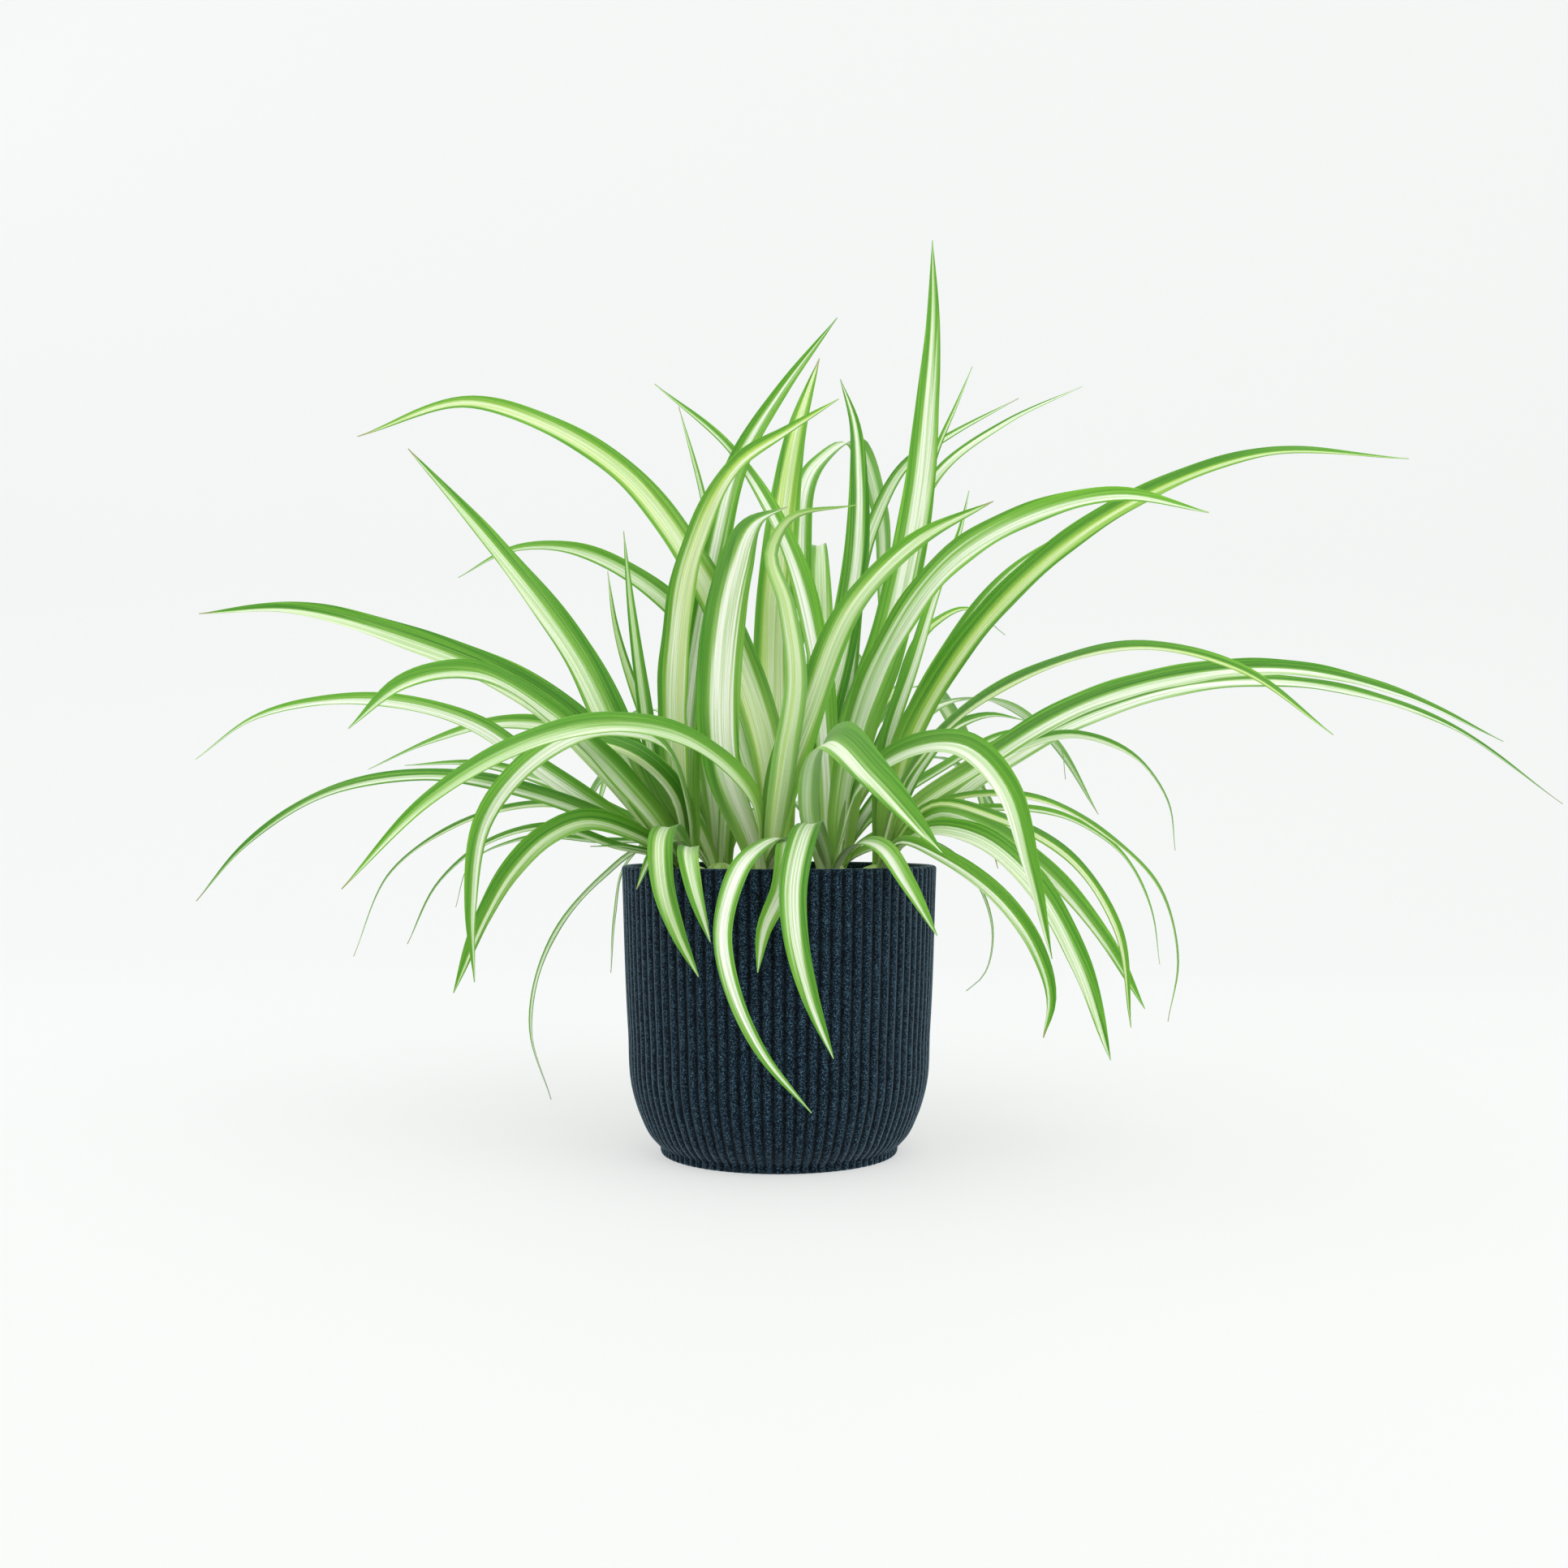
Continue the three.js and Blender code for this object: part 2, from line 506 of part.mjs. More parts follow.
/** One leaf as a closed blade: six corners to a section, left edge, midrib and right edge, above and
 * below, with each quad split the same way on both faces. */
function leafSolid(leaf) {
  const last = leaf.stations.length - 1;
  const corners = [];
  const triangles = [];
  frames(leaf).forEach(({ across, up }, i) => {
    const s = leaf.shares[i];
    const half = halfWidth(leaf, s);
    const fold = foldAngle(s);
    const lift = (0.5 * LEAF_THICKNESS) / Math.cos(fold);
    for (const face of [1, -1]) {
      for (const side of [-1, 0, 1]) {
        corners.push(
          leaf.stations[i]
            .clone()
            .addScaledVector(across, side * half * Math.cos(fold))
            .addScaledVector(up, (Math.abs(side) - 0.5) * half * Math.sin(fold) + face * lift),
        );
      }
    }
  });
  const [leftTop, ribTop, rightTop, leftLow, ribLow, rightLow] = [0, 1, 2, 3, 4, 5];
  for (let i = 0; i < last; i++) {
    const here = 6 * i;
    const next = here + 6;
    for (const [a, b, c, d] of [[leftTop, ribTop, leftLow, ribLow], [ribTop, rightTop, ribLow, rightLow]]) {
      triangles.push(here + a, next + a, next + b, here + a, next + b, here + b);
      triangles.push(here + c, next + d, next + c, here + c, here + d, next + d);
    }
    triangles.push(here + leftTop, here + leftLow, next + leftLow);
    triangles.push(here + leftTop, next + leftLow, next + leftTop);
    triangles.push(here + rightTop, next + rightLow, here + rightLow);
    triangles.push(here + rightTop, next + rightTop, next + rightLow);
  }
  const end = 6 * last;
  for (const [a, b, c, d] of [[leftTop, ribTop, ribLow, leftLow], [ribTop, rightTop, rightLow, ribLow]]) {
    triangles.push(a, b, c, a, c, d);
    triangles.push(end + a, end + c, end + b, end + a, end + d, end + c);
  }
  return solid(corners, triangles);
}

/** A closed solid turned round the vertical axis at (x, y) from a profile of [radius, height] points. */
function turned(profile, sides, x = 0, y = 0) {
  const points = profile.map(([radius, height]) => new THREE.Vector2(radius, height));
  const geometry = new THREE.LatheGeometry(points, sides);
  geometry.rotateX(Math.PI / 2);
  geometry.translate(x, y, 0);
  return solidOf(geometry);
}

/** The crown of a rosette, sunk in the soil, or the plain hole that it stands in. */
function crown([x, y], gap) {
  const foot = SOIL_TOP - CROWN_DEPTH - gap;
  const top = SOIL_TOP + CROWN_RISE + (gap > 0 ? CROWN_DEPTH : 0);
  const profile = [
    [0, foot],
    [CROWN_FOOT_RADIUS + gap, foot],
    [CROWN_RADIUS + gap, SOIL_TOP - CROWN_WAIST],
    [CROWN_RADIUS + gap, SOIL_TOP + CROWN_SHOULDER],
    [gap > 0 ? CROWN_RADIUS + gap : CROWN_TOP_RADIUS, top],
    [0, top],
  ];
  return turned(profile, CROWN_SIDES, x, y);
}

/** The pot's outer body: one ring of corners at each height, high on a rib and low in a groove by turns,
 * with flat discs that close its foot and its top. */
function ribbedBody() {
  const around = 2 * RIBS;
  const corners = [];
  const triangles = [];
  for (const [height, radius] of POT_PROFILE) {
    for (let i = 0; i < around; i++) {
      const a = (i / around) * 2 * Math.PI;
      const r = radius - (i % 2 ? GROOVE : 0);
      corners.push(new THREE.Vector3(r * Math.cos(a), r * Math.sin(a), height));
    }
  }
  const rings = POT_PROFILE.length;
  for (let k = 0; k < rings - 1; k++) {
    for (let i = 0; i < around; i++) {
      const a = k * around + i;
      const b = k * around + ((i + 1) % around);
      triangles.push(a, b, b + around, a, b + around, a + around);
    }
  }
  const foot = corners.push(new THREE.Vector3(0, 0, 0)) - 1;
  const top = corners.push(new THREE.Vector3(0, 0, POT_HEIGHT)) - 1;
  for (let i = 0; i < around; i++) {
    const next = (i + 1) % around;
    triangles.push(foot, next, i);
    triangles.push(top, (rings - 1) * around + i, (rings - 1) * around + next);
  }
  return solid(corners, triangles);
}

/** Radius of the pot's inside at a height: the outside less the wall. */
function innerRadius(height) {
  for (let k = 1; k < POT_PROFILE.length; k++) {
    const [h0, r0] = POT_PROFILE[k - 1];
    const [h1, r1] = POT_PROFILE[k];
    if (height <= h1) return r0 + ((height - h0) / (h1 - h0)) * (r1 - r0) - GROOVE - WALL;
  }
  return RIM_RADIUS - GROOVE - WALL;
}

/** The inside of the pot as a turned solid, from its floor up, smaller all round by a gap. */
function potInside(from, to, gap) {
  const levels = POT_PROFILE.map(([height]) => height);
  const between = levels.filter((height) => height > 2 * from && height < to);
  const profile = [from, ...between, to].map((height) => [innerRadius(height) - gap, height]);
  return [[0, from], ...profile];
}

function potSolid() {
  const mouth = [[RIM_RADIUS - WALL, POT_HEIGHT + 1], [0, POT_HEIGHT + 1]];
  const hollow = [...potInside(FLOOR, POT_HEIGHT - 1, 0), ...mouth];
  return ribbedBody().subtract(turned(hollow, INNER_SIDES));
}

function soilSolid() {
  const body = [...potInside(FLOOR + SEAT_GAP, SOIL_TOP, SEAT_GAP + 0.1), [0, SOIL_TOP + SOIL_MOUND]];
  let soil = turned(body, SOIL_SIDES);
  for (const place of Object.values(CROWNS)) soil = soil.subtract(crown(place, SEAT_GAP));
  return soil;
}

/** The largest body of a solid, with any pocket that its blades seal filled in and its slivers closed
 * up. */
function wholeBody(made) {
  const largest = made.decompose().reduce((best, body) => (body.volume() > best.volume() ? body : best));
  return largest.simplify(SLIVER);
}

/** A named mesh of the part from a solid. */
function piece(name, made, color, roughness) {
  const mesh = made.getMesh();
  const geometry = new THREE.BufferGeometry();
  geometry.setAttribute("position", new THREE.BufferAttribute(new Float32Array(mesh.vertProperties), 3));
  geometry.setIndex(new THREE.BufferAttribute(new Uint32Array(mesh.triVerts), 1));
  geometry.computeVertexNormals();
  const part = new THREE.Mesh(geometry, new THREE.MeshStandardMaterial({ color, roughness, metalness: 0 }));
  part.name = name;
  return part;
}

const planned = [];
for (const [rosette, rows] of Object.entries(LEAVES)) {
  for (const [width, fullness, rootTurn, tipTurn, ...points] of rows) {
    planned.push(plannedLeaf(rosette, width, fullness, rootTurn, tipTurn, points.map(seen)));
  }
}
for (const [rosette, rows] of Object.entries(FAR_LEAVES)) {
  for (const row of rows) {
    planned.push(plannedLeaf(rosette, row[0], FAR_FULLNESS, 0, 0, archPoints(CROWNS[rosette], row)));
  }
}
bendClear(planned);

const plant = new THREE.Group();
plant.add(piece("pot", potSolid(), NAVY, 0.75));
plant.add(piece("soil", soilSolid(), EARTH, 0.95));
Object.keys(CROWNS).forEach((rosette, i) => {
  let made = crown(CROWNS[rosette], 0);
  for (const leaf of planned.filter((one) => one.rosette === rosette)) made = made.add(leafSolid(leaf));
  plant.add(piece(rosette, wholeBody(made), GREENS[i], 0.5));
});

export default plant;
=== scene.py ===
# A spider plant in a ribbed pot. The pot, the soil and seven rosettes of striped leaves are worked out as
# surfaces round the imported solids, in the same frame: +Z up, origin at the foot of the pot.
import json
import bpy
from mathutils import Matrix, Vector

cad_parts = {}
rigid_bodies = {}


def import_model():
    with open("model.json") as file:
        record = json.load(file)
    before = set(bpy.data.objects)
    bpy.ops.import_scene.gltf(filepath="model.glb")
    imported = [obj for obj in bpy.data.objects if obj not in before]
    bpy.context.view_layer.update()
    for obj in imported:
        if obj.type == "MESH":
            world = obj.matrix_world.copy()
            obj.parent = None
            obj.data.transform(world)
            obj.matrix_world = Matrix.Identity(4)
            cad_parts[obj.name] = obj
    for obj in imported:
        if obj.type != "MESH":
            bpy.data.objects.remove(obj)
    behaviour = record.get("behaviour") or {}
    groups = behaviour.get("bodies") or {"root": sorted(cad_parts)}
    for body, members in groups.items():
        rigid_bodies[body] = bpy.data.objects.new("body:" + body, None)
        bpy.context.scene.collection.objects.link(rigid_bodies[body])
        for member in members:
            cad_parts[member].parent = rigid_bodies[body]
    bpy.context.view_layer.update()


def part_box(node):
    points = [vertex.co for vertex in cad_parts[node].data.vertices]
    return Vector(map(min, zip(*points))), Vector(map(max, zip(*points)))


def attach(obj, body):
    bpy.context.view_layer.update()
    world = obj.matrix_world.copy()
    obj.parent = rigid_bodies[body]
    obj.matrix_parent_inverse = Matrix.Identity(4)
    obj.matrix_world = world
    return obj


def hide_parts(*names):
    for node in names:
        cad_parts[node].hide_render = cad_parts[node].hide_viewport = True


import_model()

from types import SimpleNamespace

import bpy
import numpy as np

MM = 0.001

# Pot, in millimetres: its height and rim come from the frame.
POT_LOW, POT_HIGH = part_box("pot")
POT_HEIGHT = POT_HIGH.z / MM
RIM_RADIUS = POT_HIGH.x / MM
WALL = 3.0
FLOOR = 4.0
RIBS = 88
GROOVE = 0.9
RIB_COLUMNS = 8
RIM_HALF = 1.9
RIM_ROUND = 1.6
# The outside, from the foot to the rim: height, radius at the top of the ribs.
POT_PROFILE = np.array([
    [0, 58], [3.6, 58], [9, 63], [18, 67.6], [31, 71.8], [60, 74], [POT_HEIGHT - 1, RIM_RADIUS],
])

# Soil and crowns.
SOIL_TOP = 128.0
SOIL_GAP = 0.4
SOIL_COLUMNS = 132
CRUMBS = 420
CRUMB_SIDES = 7
CROWN_RADIUS = 10.0
CROWN_RISE = 12.0
ROOT_DEPTH = 8.0
NECK_RISE = 9.0

# Leaves: the same rules as the solids have, so that each blade lies where its solid lies.
LEAF_THICKNESS = 0.7
TIP_WIDTH = 1.5
MERGED_LENGTH = 28.0
PARTING_LENGTH = 45.0
LEAF_STEP = 53.5
BEND_WEIGHT = 45.0
FINE_STEPS = 60
FEWEST_STEPS = 4
MOST_STEPS = 12
LEAF_GAP = 1.2
CONTACT_REACH = 44.0
STILL_LENGTH = 20.0
STILL_SHARE = 0.1
RIM_DEPTH = 4.0
CLEARING_PASSES = 70
CLEARING_RATE = 0.6

# Where each leaf's points are read from: a viewer in front, this far from the axis and this high.
VIEW_DISTANCE = 829.0
VIEW_HEIGHT = 161.0

# Where each crown stands in the soil: x, y.
CROWNS = {
    "rosette_left": [-42, -6],
    "rosette_front": [-6, -26],
    "rosette_front_right": [25, -22],
    "rosette_right": [48, 4],
    "rosette_middle": [1, 16],
    "rosette_back_left": [-30, 40],
    "rosette_back_right": [27, 42],
}

# The leaves that show from the front, as that viewer sees them. Each row is a leaf's width, how full it
# is towards its tip (0 tapers early, 1 late), how far its upper face is turned to the viewer at its root
# and at its tip (degrees), and its points after the crown: across, up, and depth behind the pot's axis,
# the first two as they look at the axis.
LEAVES = {
    "rosette_left": [
        [22, 0.1, 75, 60, [-68, 176, -16], [-100, 243, -22], [-142, 298, -30], [-185, 346, -36]],
        [22, 0.1, 68, 52, [-70, 175, 6], [-112, 218, 20], [-184, 252, 40], [-244, 267, 54], [-287, 264, 60]],
        [20, 0.2, 65, 50, [-76, 187, -26], [-110, 219, -50], [-148, 240, -80], [-184, 234, -106],
            [-209, 212, -122]],
        [14, 0.1, 50, 45, [-76, 159, 8], [-98, 174, 12], [-120, 189, 16], [-149, 209, 21], [-186, 220, 27],
            [-224, 221, 31], [-260, 212, 34], [-288, 192, 36]],
        [12, 0.2, 50, 40, [-78, 158, -8], [-120, 175, -14], [-176, 184, -22], [-224, 175, -28],
            [-264, 149, -32], [-287, 122, -34]],
        [13, 0.5, 48, 42, [-44, 165, -18], [-57, 200, -30], [-88, 208, -52], [-123, 191, -76],
            [-145, 162, -92], [-151, 120, -100], [-149, 83, -100]],
        [14, 0.7, 55, 50, [-74, 157, -22], [-96, 162, -32], [-115, 154, -40], [-132, 137, -45],
            [-145, 115, -48], [-160, 77, -50]],
        [6, 0.2, 45, 45, [-82, 150, 4], [-112, 159, 8], [-144, 151, 10], [-168, 131, 12], [-183, 101, 12]],
        [6, 0.5, 45, 45, [-68, 147, 12], [-86, 134, 18], [-108, 109, 20], [-119, 84, 20], [-122, 58, 18],
            [-112, 24, 14]],
        [5, 0, 40, 40, [-76, 149, -18], [-93, 149, -26]],
        [8, 0.5, 20, 20, [-50, 152, -34], [-62, 146, -54], [-70, 128, -60]],
        [13, 0.8, 10, 10, [-54, 159, -42], [-58, 151, -64], [-56, 127, -76], [-49, 106, -84], [-39, 85, -88]],
        [11, 1, 0, 0, [-44, 149, -46], [-45, 143, -73], [-41, 124, -88], [-34, 102, -92]],
        [22, 0.2, 75, 75, [-52, 190, -16], [-52, 245, -28], [-43, 297, -38], [-20, 340, -44], [3, 355, -44],
            [29, 371, -44]],
        [19, 0.1, 72, 72, [-47, 185, 4], [-42, 240, 14], [-33, 290, 20], [-20, 340, 24], [0, 373, 26],
            [28, 410, 26]],
        [10, 0, 60, 60, [-60, 182, 2], [-68, 230, 8], [-74, 275, 12], [-77, 305, 14]],
        [13, 0.2, 55, 45, [-50, 174, -18], [-68, 191, -20], [-104, 200, -22], [-140, 191, -24],
            [-169, 173, -26]],
    ],
    "rosette_front": [
        [15, 0.1, 60, 52, [-12, 172, -38], [-40, 200, -58], [-80, 210, -84], [-126, 200, -110],
            [-173, 172, -132], [-215, 128, -146]],
        [24, 0.8, 10, 0, [-28, 190, -30], [-29, 240, -30], [-22, 285, -20], [-13, 309, -2], [4, 317, 16]],
        [13, 0.2, -45, -25, [3, 190, -40], [9, 232, -44], [4, 270, -48], [-3, 295, -50], [4, 309, -54],
            [39, 318, -58]],
        [20, 0.1, 75, 65, [-4, 186, -20], [-19, 240, -4], [-43, 291, 4], [-78, 335, 4], [-113, 357, 0],
            [-152, 369, -6], [-209, 352, -12]],
        [24, 0.3, 70, 55, [2, 180, -30], [14, 214, -36], [38, 270, -44], [68, 300, -50], [106, 320, -56]],
        [13, 0.7, 0, 0, [6, 149, -48], [7, 142, -75], [4, 124, -85], [-5, 104, -88], [-8, 83, -90]],
        [10, 0.5, 0, 0, [3, 152, -46], [-8, 149, -72], [-20, 135, -96], [-27, 105, -110], [-21, 75, -118],
            [-8, 48, -122], [17, 18, -122]],
    ],
    "rosette_front_right": [
        [14, 0.8, 0, 0, [16, 156, -46], [10, 153, -78], [4, 122, -103], [6, 98, -112], [12, 74, -116],
            [24, 42, -116]],
        [12, 0.6, 20, 20, [40, 151, -46], [52, 148, -64], [64, 130, -72], [78, 105, -78]],
        [21, 0.6, 35, 45, [16, 165, -36], [17, 190, -50], [27, 203, -82], [48, 184, -120], [81, 146, -152]],
        [22, 0.2, 70, 60, [34, 188, -30], [53, 244, -46], [86, 290, -66], [128, 314, -88], [171, 323, -106],
            [214, 314, -118]],
        [16, 0.3, 55, 55, [38, 178, -38], [62, 197, -62], [92, 199, -90], [112, 179, -110], [124, 140, -122],
            [134, 94, -126]],
    ],
    "rosette_right": [
        [17, 0, 68, 55, [60, 193, -2], [83, 237, -6], [127, 287, -12], [178, 322, -18], [240, 344, -24],
            [312, 341, -28]],
        [12, 0.2, 55, 50, [60, 198, 12], [80, 241, 22], [112, 284, 30], [145, 307, 36]],
        [12, 0.3, 50, 35, [60, 178, -16], [84, 209, -34], [130, 237, -64], [180, 248, -94], [230, 236, -120],
            [274, 204, -138]],
        [14, 0.4, 60, 55, [60, 159, 4], [98, 188, 12], [146, 217, 24], [200, 233, 38], [256, 236, 52],
            [310, 223, 64], [358, 200, 72]],
        [8, 0.9, 45, 40, [66, 169, 26], [112, 196, 44], [148, 204, 58], [178, 191, 66], [192, 170, 70],
            [195, 147, 70]],
        [10, 0.2, 45, 45, [70, 190, 24], [88, 209, 34], [104, 214, 40], [122, 211, 46]],
        [15, 0.9, 50, 50, [74, 158, -18], [101, 153, -32], [120, 138, -40], [148, 92, -44], [163, 44, -46]],
        [15, 0.9, 50, 50, [78, 167, 6], [105, 158, 8], [129, 140, 8], [159, 105, 8], [179, 70, 8]],
        [8, 0.9, 50, 50, [76, 170, -4], [109, 163, -10], [144, 143, -14], [166, 110, -16], [173, 60, -16]],
        [7, 1, 45, 45, [74, 168, 24], [126, 173, 38], [161, 155, 50], [188, 127, 58], [196, 93, 60],
            [191, 63, 60]],
        [10, 1, 50, 50, [60, 152, -20], [80, 145, -34], [112, 121, -46], [127, 99, -50], [134, 72, -52],
            [130, 55, -52]],
        [4, 0.3, 45, 45, [64, 152, 6], [86, 145, 12], [101, 124, 16], [105, 104, 16], [100, 85, 14],
            [92, 78, 12]],
        [10, 0.1, 60, 60, [54, 200, 16], [67, 240, 28], [80, 280, 38], [90, 304, 42], [95, 325, 44]],
    ],
    "rosette_middle": [
        [25, 0.3, 12, 12, [-3, 190, 27], [-4, 250, 44], [0, 310, 62], [7, 356, 76], [18, 391, 88]],
        [8, 0.2, 40, 40, [2, 190, 12], [5, 241, 14]],
        [15, 0.4, 60, 50, [-12, 190, 26], [-32, 246, 30], [-64, 279, 36], [-104, 297, 44], [-130, 296, 52],
            [-157, 282, 58]],
    ],
    "rosette_back_left": [
        [14, 0.2, 55, 45, [-70, 182, 60], [-104, 206, 78], [-140, 210, 94], [-172, 201, 106],
            [-203, 187, 114]],
        [7, 0.5, 30, 30, [-60, 154, 50], [-76, 140, 54], [-81, 115, 54], [-83, 87, 52]],
        [9, 0.1, 60, 60, [-26, 190, 52], [-28, 260, 66], [-37, 319, 78], [-50, 367, 88]],
        [8, 0.1, 60, 60, [-50, 178, 46], [-71, 225, 54], [-81, 258, 60], [-85, 285, 64]],
        [10, 0.2, 45, 45, [-82, 166, 48], [-112, 180, 62], [-150, 190, 78], [-185, 189, 90]],
        [6, 0.3, 45, 45, [-72, 160, 54], [-112, 170, 74], [-160, 159, 94], [-192, 135, 106], [-209, 95, 112]],
        [5, 0.2, 40, 40, [-92, 152, 66], [-130, 152, 84], [-154, 139, 96], [-160, 119, 100]],
    ],
    "rosette_back_right": [
        [24, 0.1, 75, 60, [35, 205, 50], [50, 247, 58], [60, 287, 64], [67, 327, 68], [71, 367, 72],
            [74, 407, 76], [74, 451, 80]],
        [17, 0.5, 8, 0, [14, 190, 42], [26, 250, 50], [33, 295, 52], [34, 330, 54], [32, 358, 58],
            [25, 380, 62]],
        [14, 0.9, 60, -45, [10, 200, 66], [12, 280, 92], [21, 339, 116], [38, 350, 130], [51, 318, 138],
            [53, 270, 140], [53, 236, 138]],
        [20, 0.1, 60, 55, [19, 190, 40], [13, 250, 34], [3, 290, 31], [-10, 318, 29], [-28, 345, 27],
            [-66, 378, 22]],
        [18, 1, 0, 0, [21, 190, 96], [20, 250, 122], [19, 289, 142], [19, 300, 164], [19, 284, 192]],
        [14, 0.1, 50, 45, [60, 154, 46], [100, 184, 66], [150, 212, 88], [210, 229, 110], [270, 228, 128],
            [330, 209, 142], [386, 170, 150]],
        [6, 0.6, 45, 45, [62, 162, 58], [100, 168, 74], [143, 163, 90], [170, 144, 100], [183, 118, 104],
            [187, 91, 104]],
        [7, 0.3, 40, 40, [80, 190, 80], [120, 206, 104], [136, 200, 112], [139, 183, 114]],
        [9, 0.3, 40, 40, [56, 210, 74], [76, 258, 96], [94, 266, 108], [112, 253, 116]],
        [11, 0.1, 55, 50, [34, 230, 68], [46, 306, 88], [63, 338, 102], [84, 352, 116], [119, 371, 130]],
        [11, 0.1, 55, 50, [44, 220, 78], [62, 300, 102], [78, 333, 112], [112, 359, 124], [150, 377, 136]],
        [9, 0.1, 60, 60, [48, 240, 72], [66, 300, 84], [77, 345, 88], [87, 368, 90], [95, 387, 92]],
    ],
}

# The leaves of the far side, which arch away from the viewer, are all this full towards their tips.
FAR_FULLNESS = 0.2

# The leaves of the far side, which arch away from the viewer: width, direction in plan (degrees from +X
# towards +Y), reach from the crown, height of the arch and height of the tip above the ground.
FAR_LEAVES = {
    "rosette_middle": [
        [15, 70, 190, 256, 214],
        [16, 108, 200, 262, 226],
    ],
    "rosette_back_left": [
        [17, 92, 250, 236, 120],
        [14, 112, 250, 226, 160],
        [13, 104, 190, 190, 84],
        [12, 122, 170, 200, 156],
        [15, 98, 300, 262, 180],
        [11, 80, 150, 168, 70],
    ],
    "rosette_back_right": [
        [17, 62, 260, 240, 130],
        [15, 46, 250, 232, 166],
        [13, 94, 200, 186, 82],
        [12, 42, 130, 196, 150],
        [15, 100, 310, 270, 190],
        [11, 104, 150, 172, 74],
    ],
}

# Fine blades: how thick a real blade is at its midrib, its point's width, the size of its faces, and how
# far the stripe moves to the lower edge of a leaf that leans over.
BLADE_THICKNESS = 0.55
POINT_WIDTH = 0.5
FACE_LENGTH = 4.5
COLUMNS = np.array([-1, -0.95, -0.8, -0.6, -0.4, -0.2, -0.07, 0.07, 0.2, 0.4, 0.6, 0.8, 0.95, 1])
STRIPE_SAG = 0.55
SEED = 11

# Camera, in metres: it stands in front of the pot, a little above its rim, and looks slightly up.
LENS = 38.6
SENSOR = 36.0
CAMERA_SIDE = 0.0024
CAMERA_TILT = np.radians(1.3)

# The share of the floor's brightness that is its own, as a lit studio table has.
FLOOR_GLOW = 0.52


def smooth(x):
    """A smooth rise from 0 to 1 as x goes from 0 to 1."""
    t = np.clip(x, 0, 1)
    return t * t * (3 - 2 * t)


def linear(red, green, blue):
    """A display colour given from 0 to 255 as the linear colour that a shader takes."""
    c = np.array([red, green, blue]) / 255
    c = np.where(c <= 0.04045, c / 12.92, ((c + 0.055) / 1.055) ** 2.4)
    return (*c.tolist(), 1.0)


def unit(v):
    """Each row of v at length 1."""
    return v / np.linalg.norm(v, axis=-1, keepdims=True)


def slopes_of(knots, values):
    """The slope at each knot of the parabola through it and its neighbours, and the chord's at the ends."""
    h = np.diff(knots)[:, None]
    chords = np.diff(values, axis=0) / h
    inner = (chords[:-1] * h[1:] + chords[1:] * h[:-1]) / (h[:-1] + h[1:])
    return np.vstack([chords[:1], inner, chords[-1:]])


def on_curve(knots, values, at):
    """The cubic through the values at the knots, with the slopes of slopes_of, at each place in at."""
    slopes = slopes_of(knots, values)
    i = np.searchsorted(knots[1:-1], at)
    h = (knots[i + 1] - knots[i])[:, None]
    t = (at - knots[i])[:, None] / h
    t2 = t * t
    t3 = t2 * t
    return (
        (2 * t3 - 3 * t2 + 1) * values[i]
        + h * (t3 - 2 * t2 + t) * slopes[i]
        + (3 * t2 - 2 * t3) * values[i + 1]
        + h * (t3 - t2) * slopes[i + 1]
    )


def run_of(points):
    """The distance along a line of points, from its first."""
    return np.concatenate([[0], np.cumsum(np.linalg.norm(np.diff(points, axis=0), axis=1))])


def curve_of(points, steps):
    """steps + 1 points on the smooth curve through the points, at even steps of chord length."""
    knots = run_of(points)
    return on_curve(knots, points, knots[-1] * np.arange(steps + 1) / steps)


def stations_through(points):
    """Stations along the curve, closer together where it bends: even steps of length plus BEND_WEIGHT times
    the angle turned. With them come the share of the length at each, and the length."""
    fine = curve_of(points, FINE_STEPS)
    steps = np.diff(fine, axis=0)
    size = np.linalg.norm(steps, axis=1)
    turn = np.sum(steps[1:] * steps[:-1], axis=1) / (size[1:] * size[:-1])
    angles = np.concatenate([[0], np.arccos(np.clip(turn, -1, 1))])
    lengths = np.concatenate([[0], np.cumsum(size)])
    measures = np.concatenate([[0], np.cumsum(size + BEND_WEIGHT * angles)])
    count = int(np.clip(np.floor(measures[-1] / LEAF_STEP + 0.5), FEWEST_STEPS, MOST_STEPS))
    at = measures[-1] * np.arange(count + 1) / count
    stations = np.column_stack([np.interp(at, measures, fine[:, k]) for k in range(3)])
    return stations, np.interp(at, measures, lengths) / lengths[-1], lengths[-1]


def seen(rows):
    """Points that the front viewer sees at (across, up) on the axis plane, moved to their real depth."""
    across, up, depth = np.array(rows, float).T
    k = 1 + depth / VIEW_DISTANCE
    return np.column_stack([across * k, depth, VIEW_HEIGHT + (up - VIEW_HEIGHT) * k])


def arch_points(crown, direction, reach, top, end):
    """Points of a leaf that arches away from its crown in a straight line in plan."""
    a = np.radians(direction)
    share = np.array([0.16, 0.36, 0.56, 0.8, 1])
    rise = np.array([0.62, 0.94, 1, 1, 1])
    drop = np.array([0, 0, 0, 0.32, 1])
    height = SOIL_TOP + rise * (top - SOIL_TOP) - drop * (top - end)
    out = share * reach
    return np.column_stack([crown[0] + out * np.cos(a), crown[1] + out * np.sin(a), height])


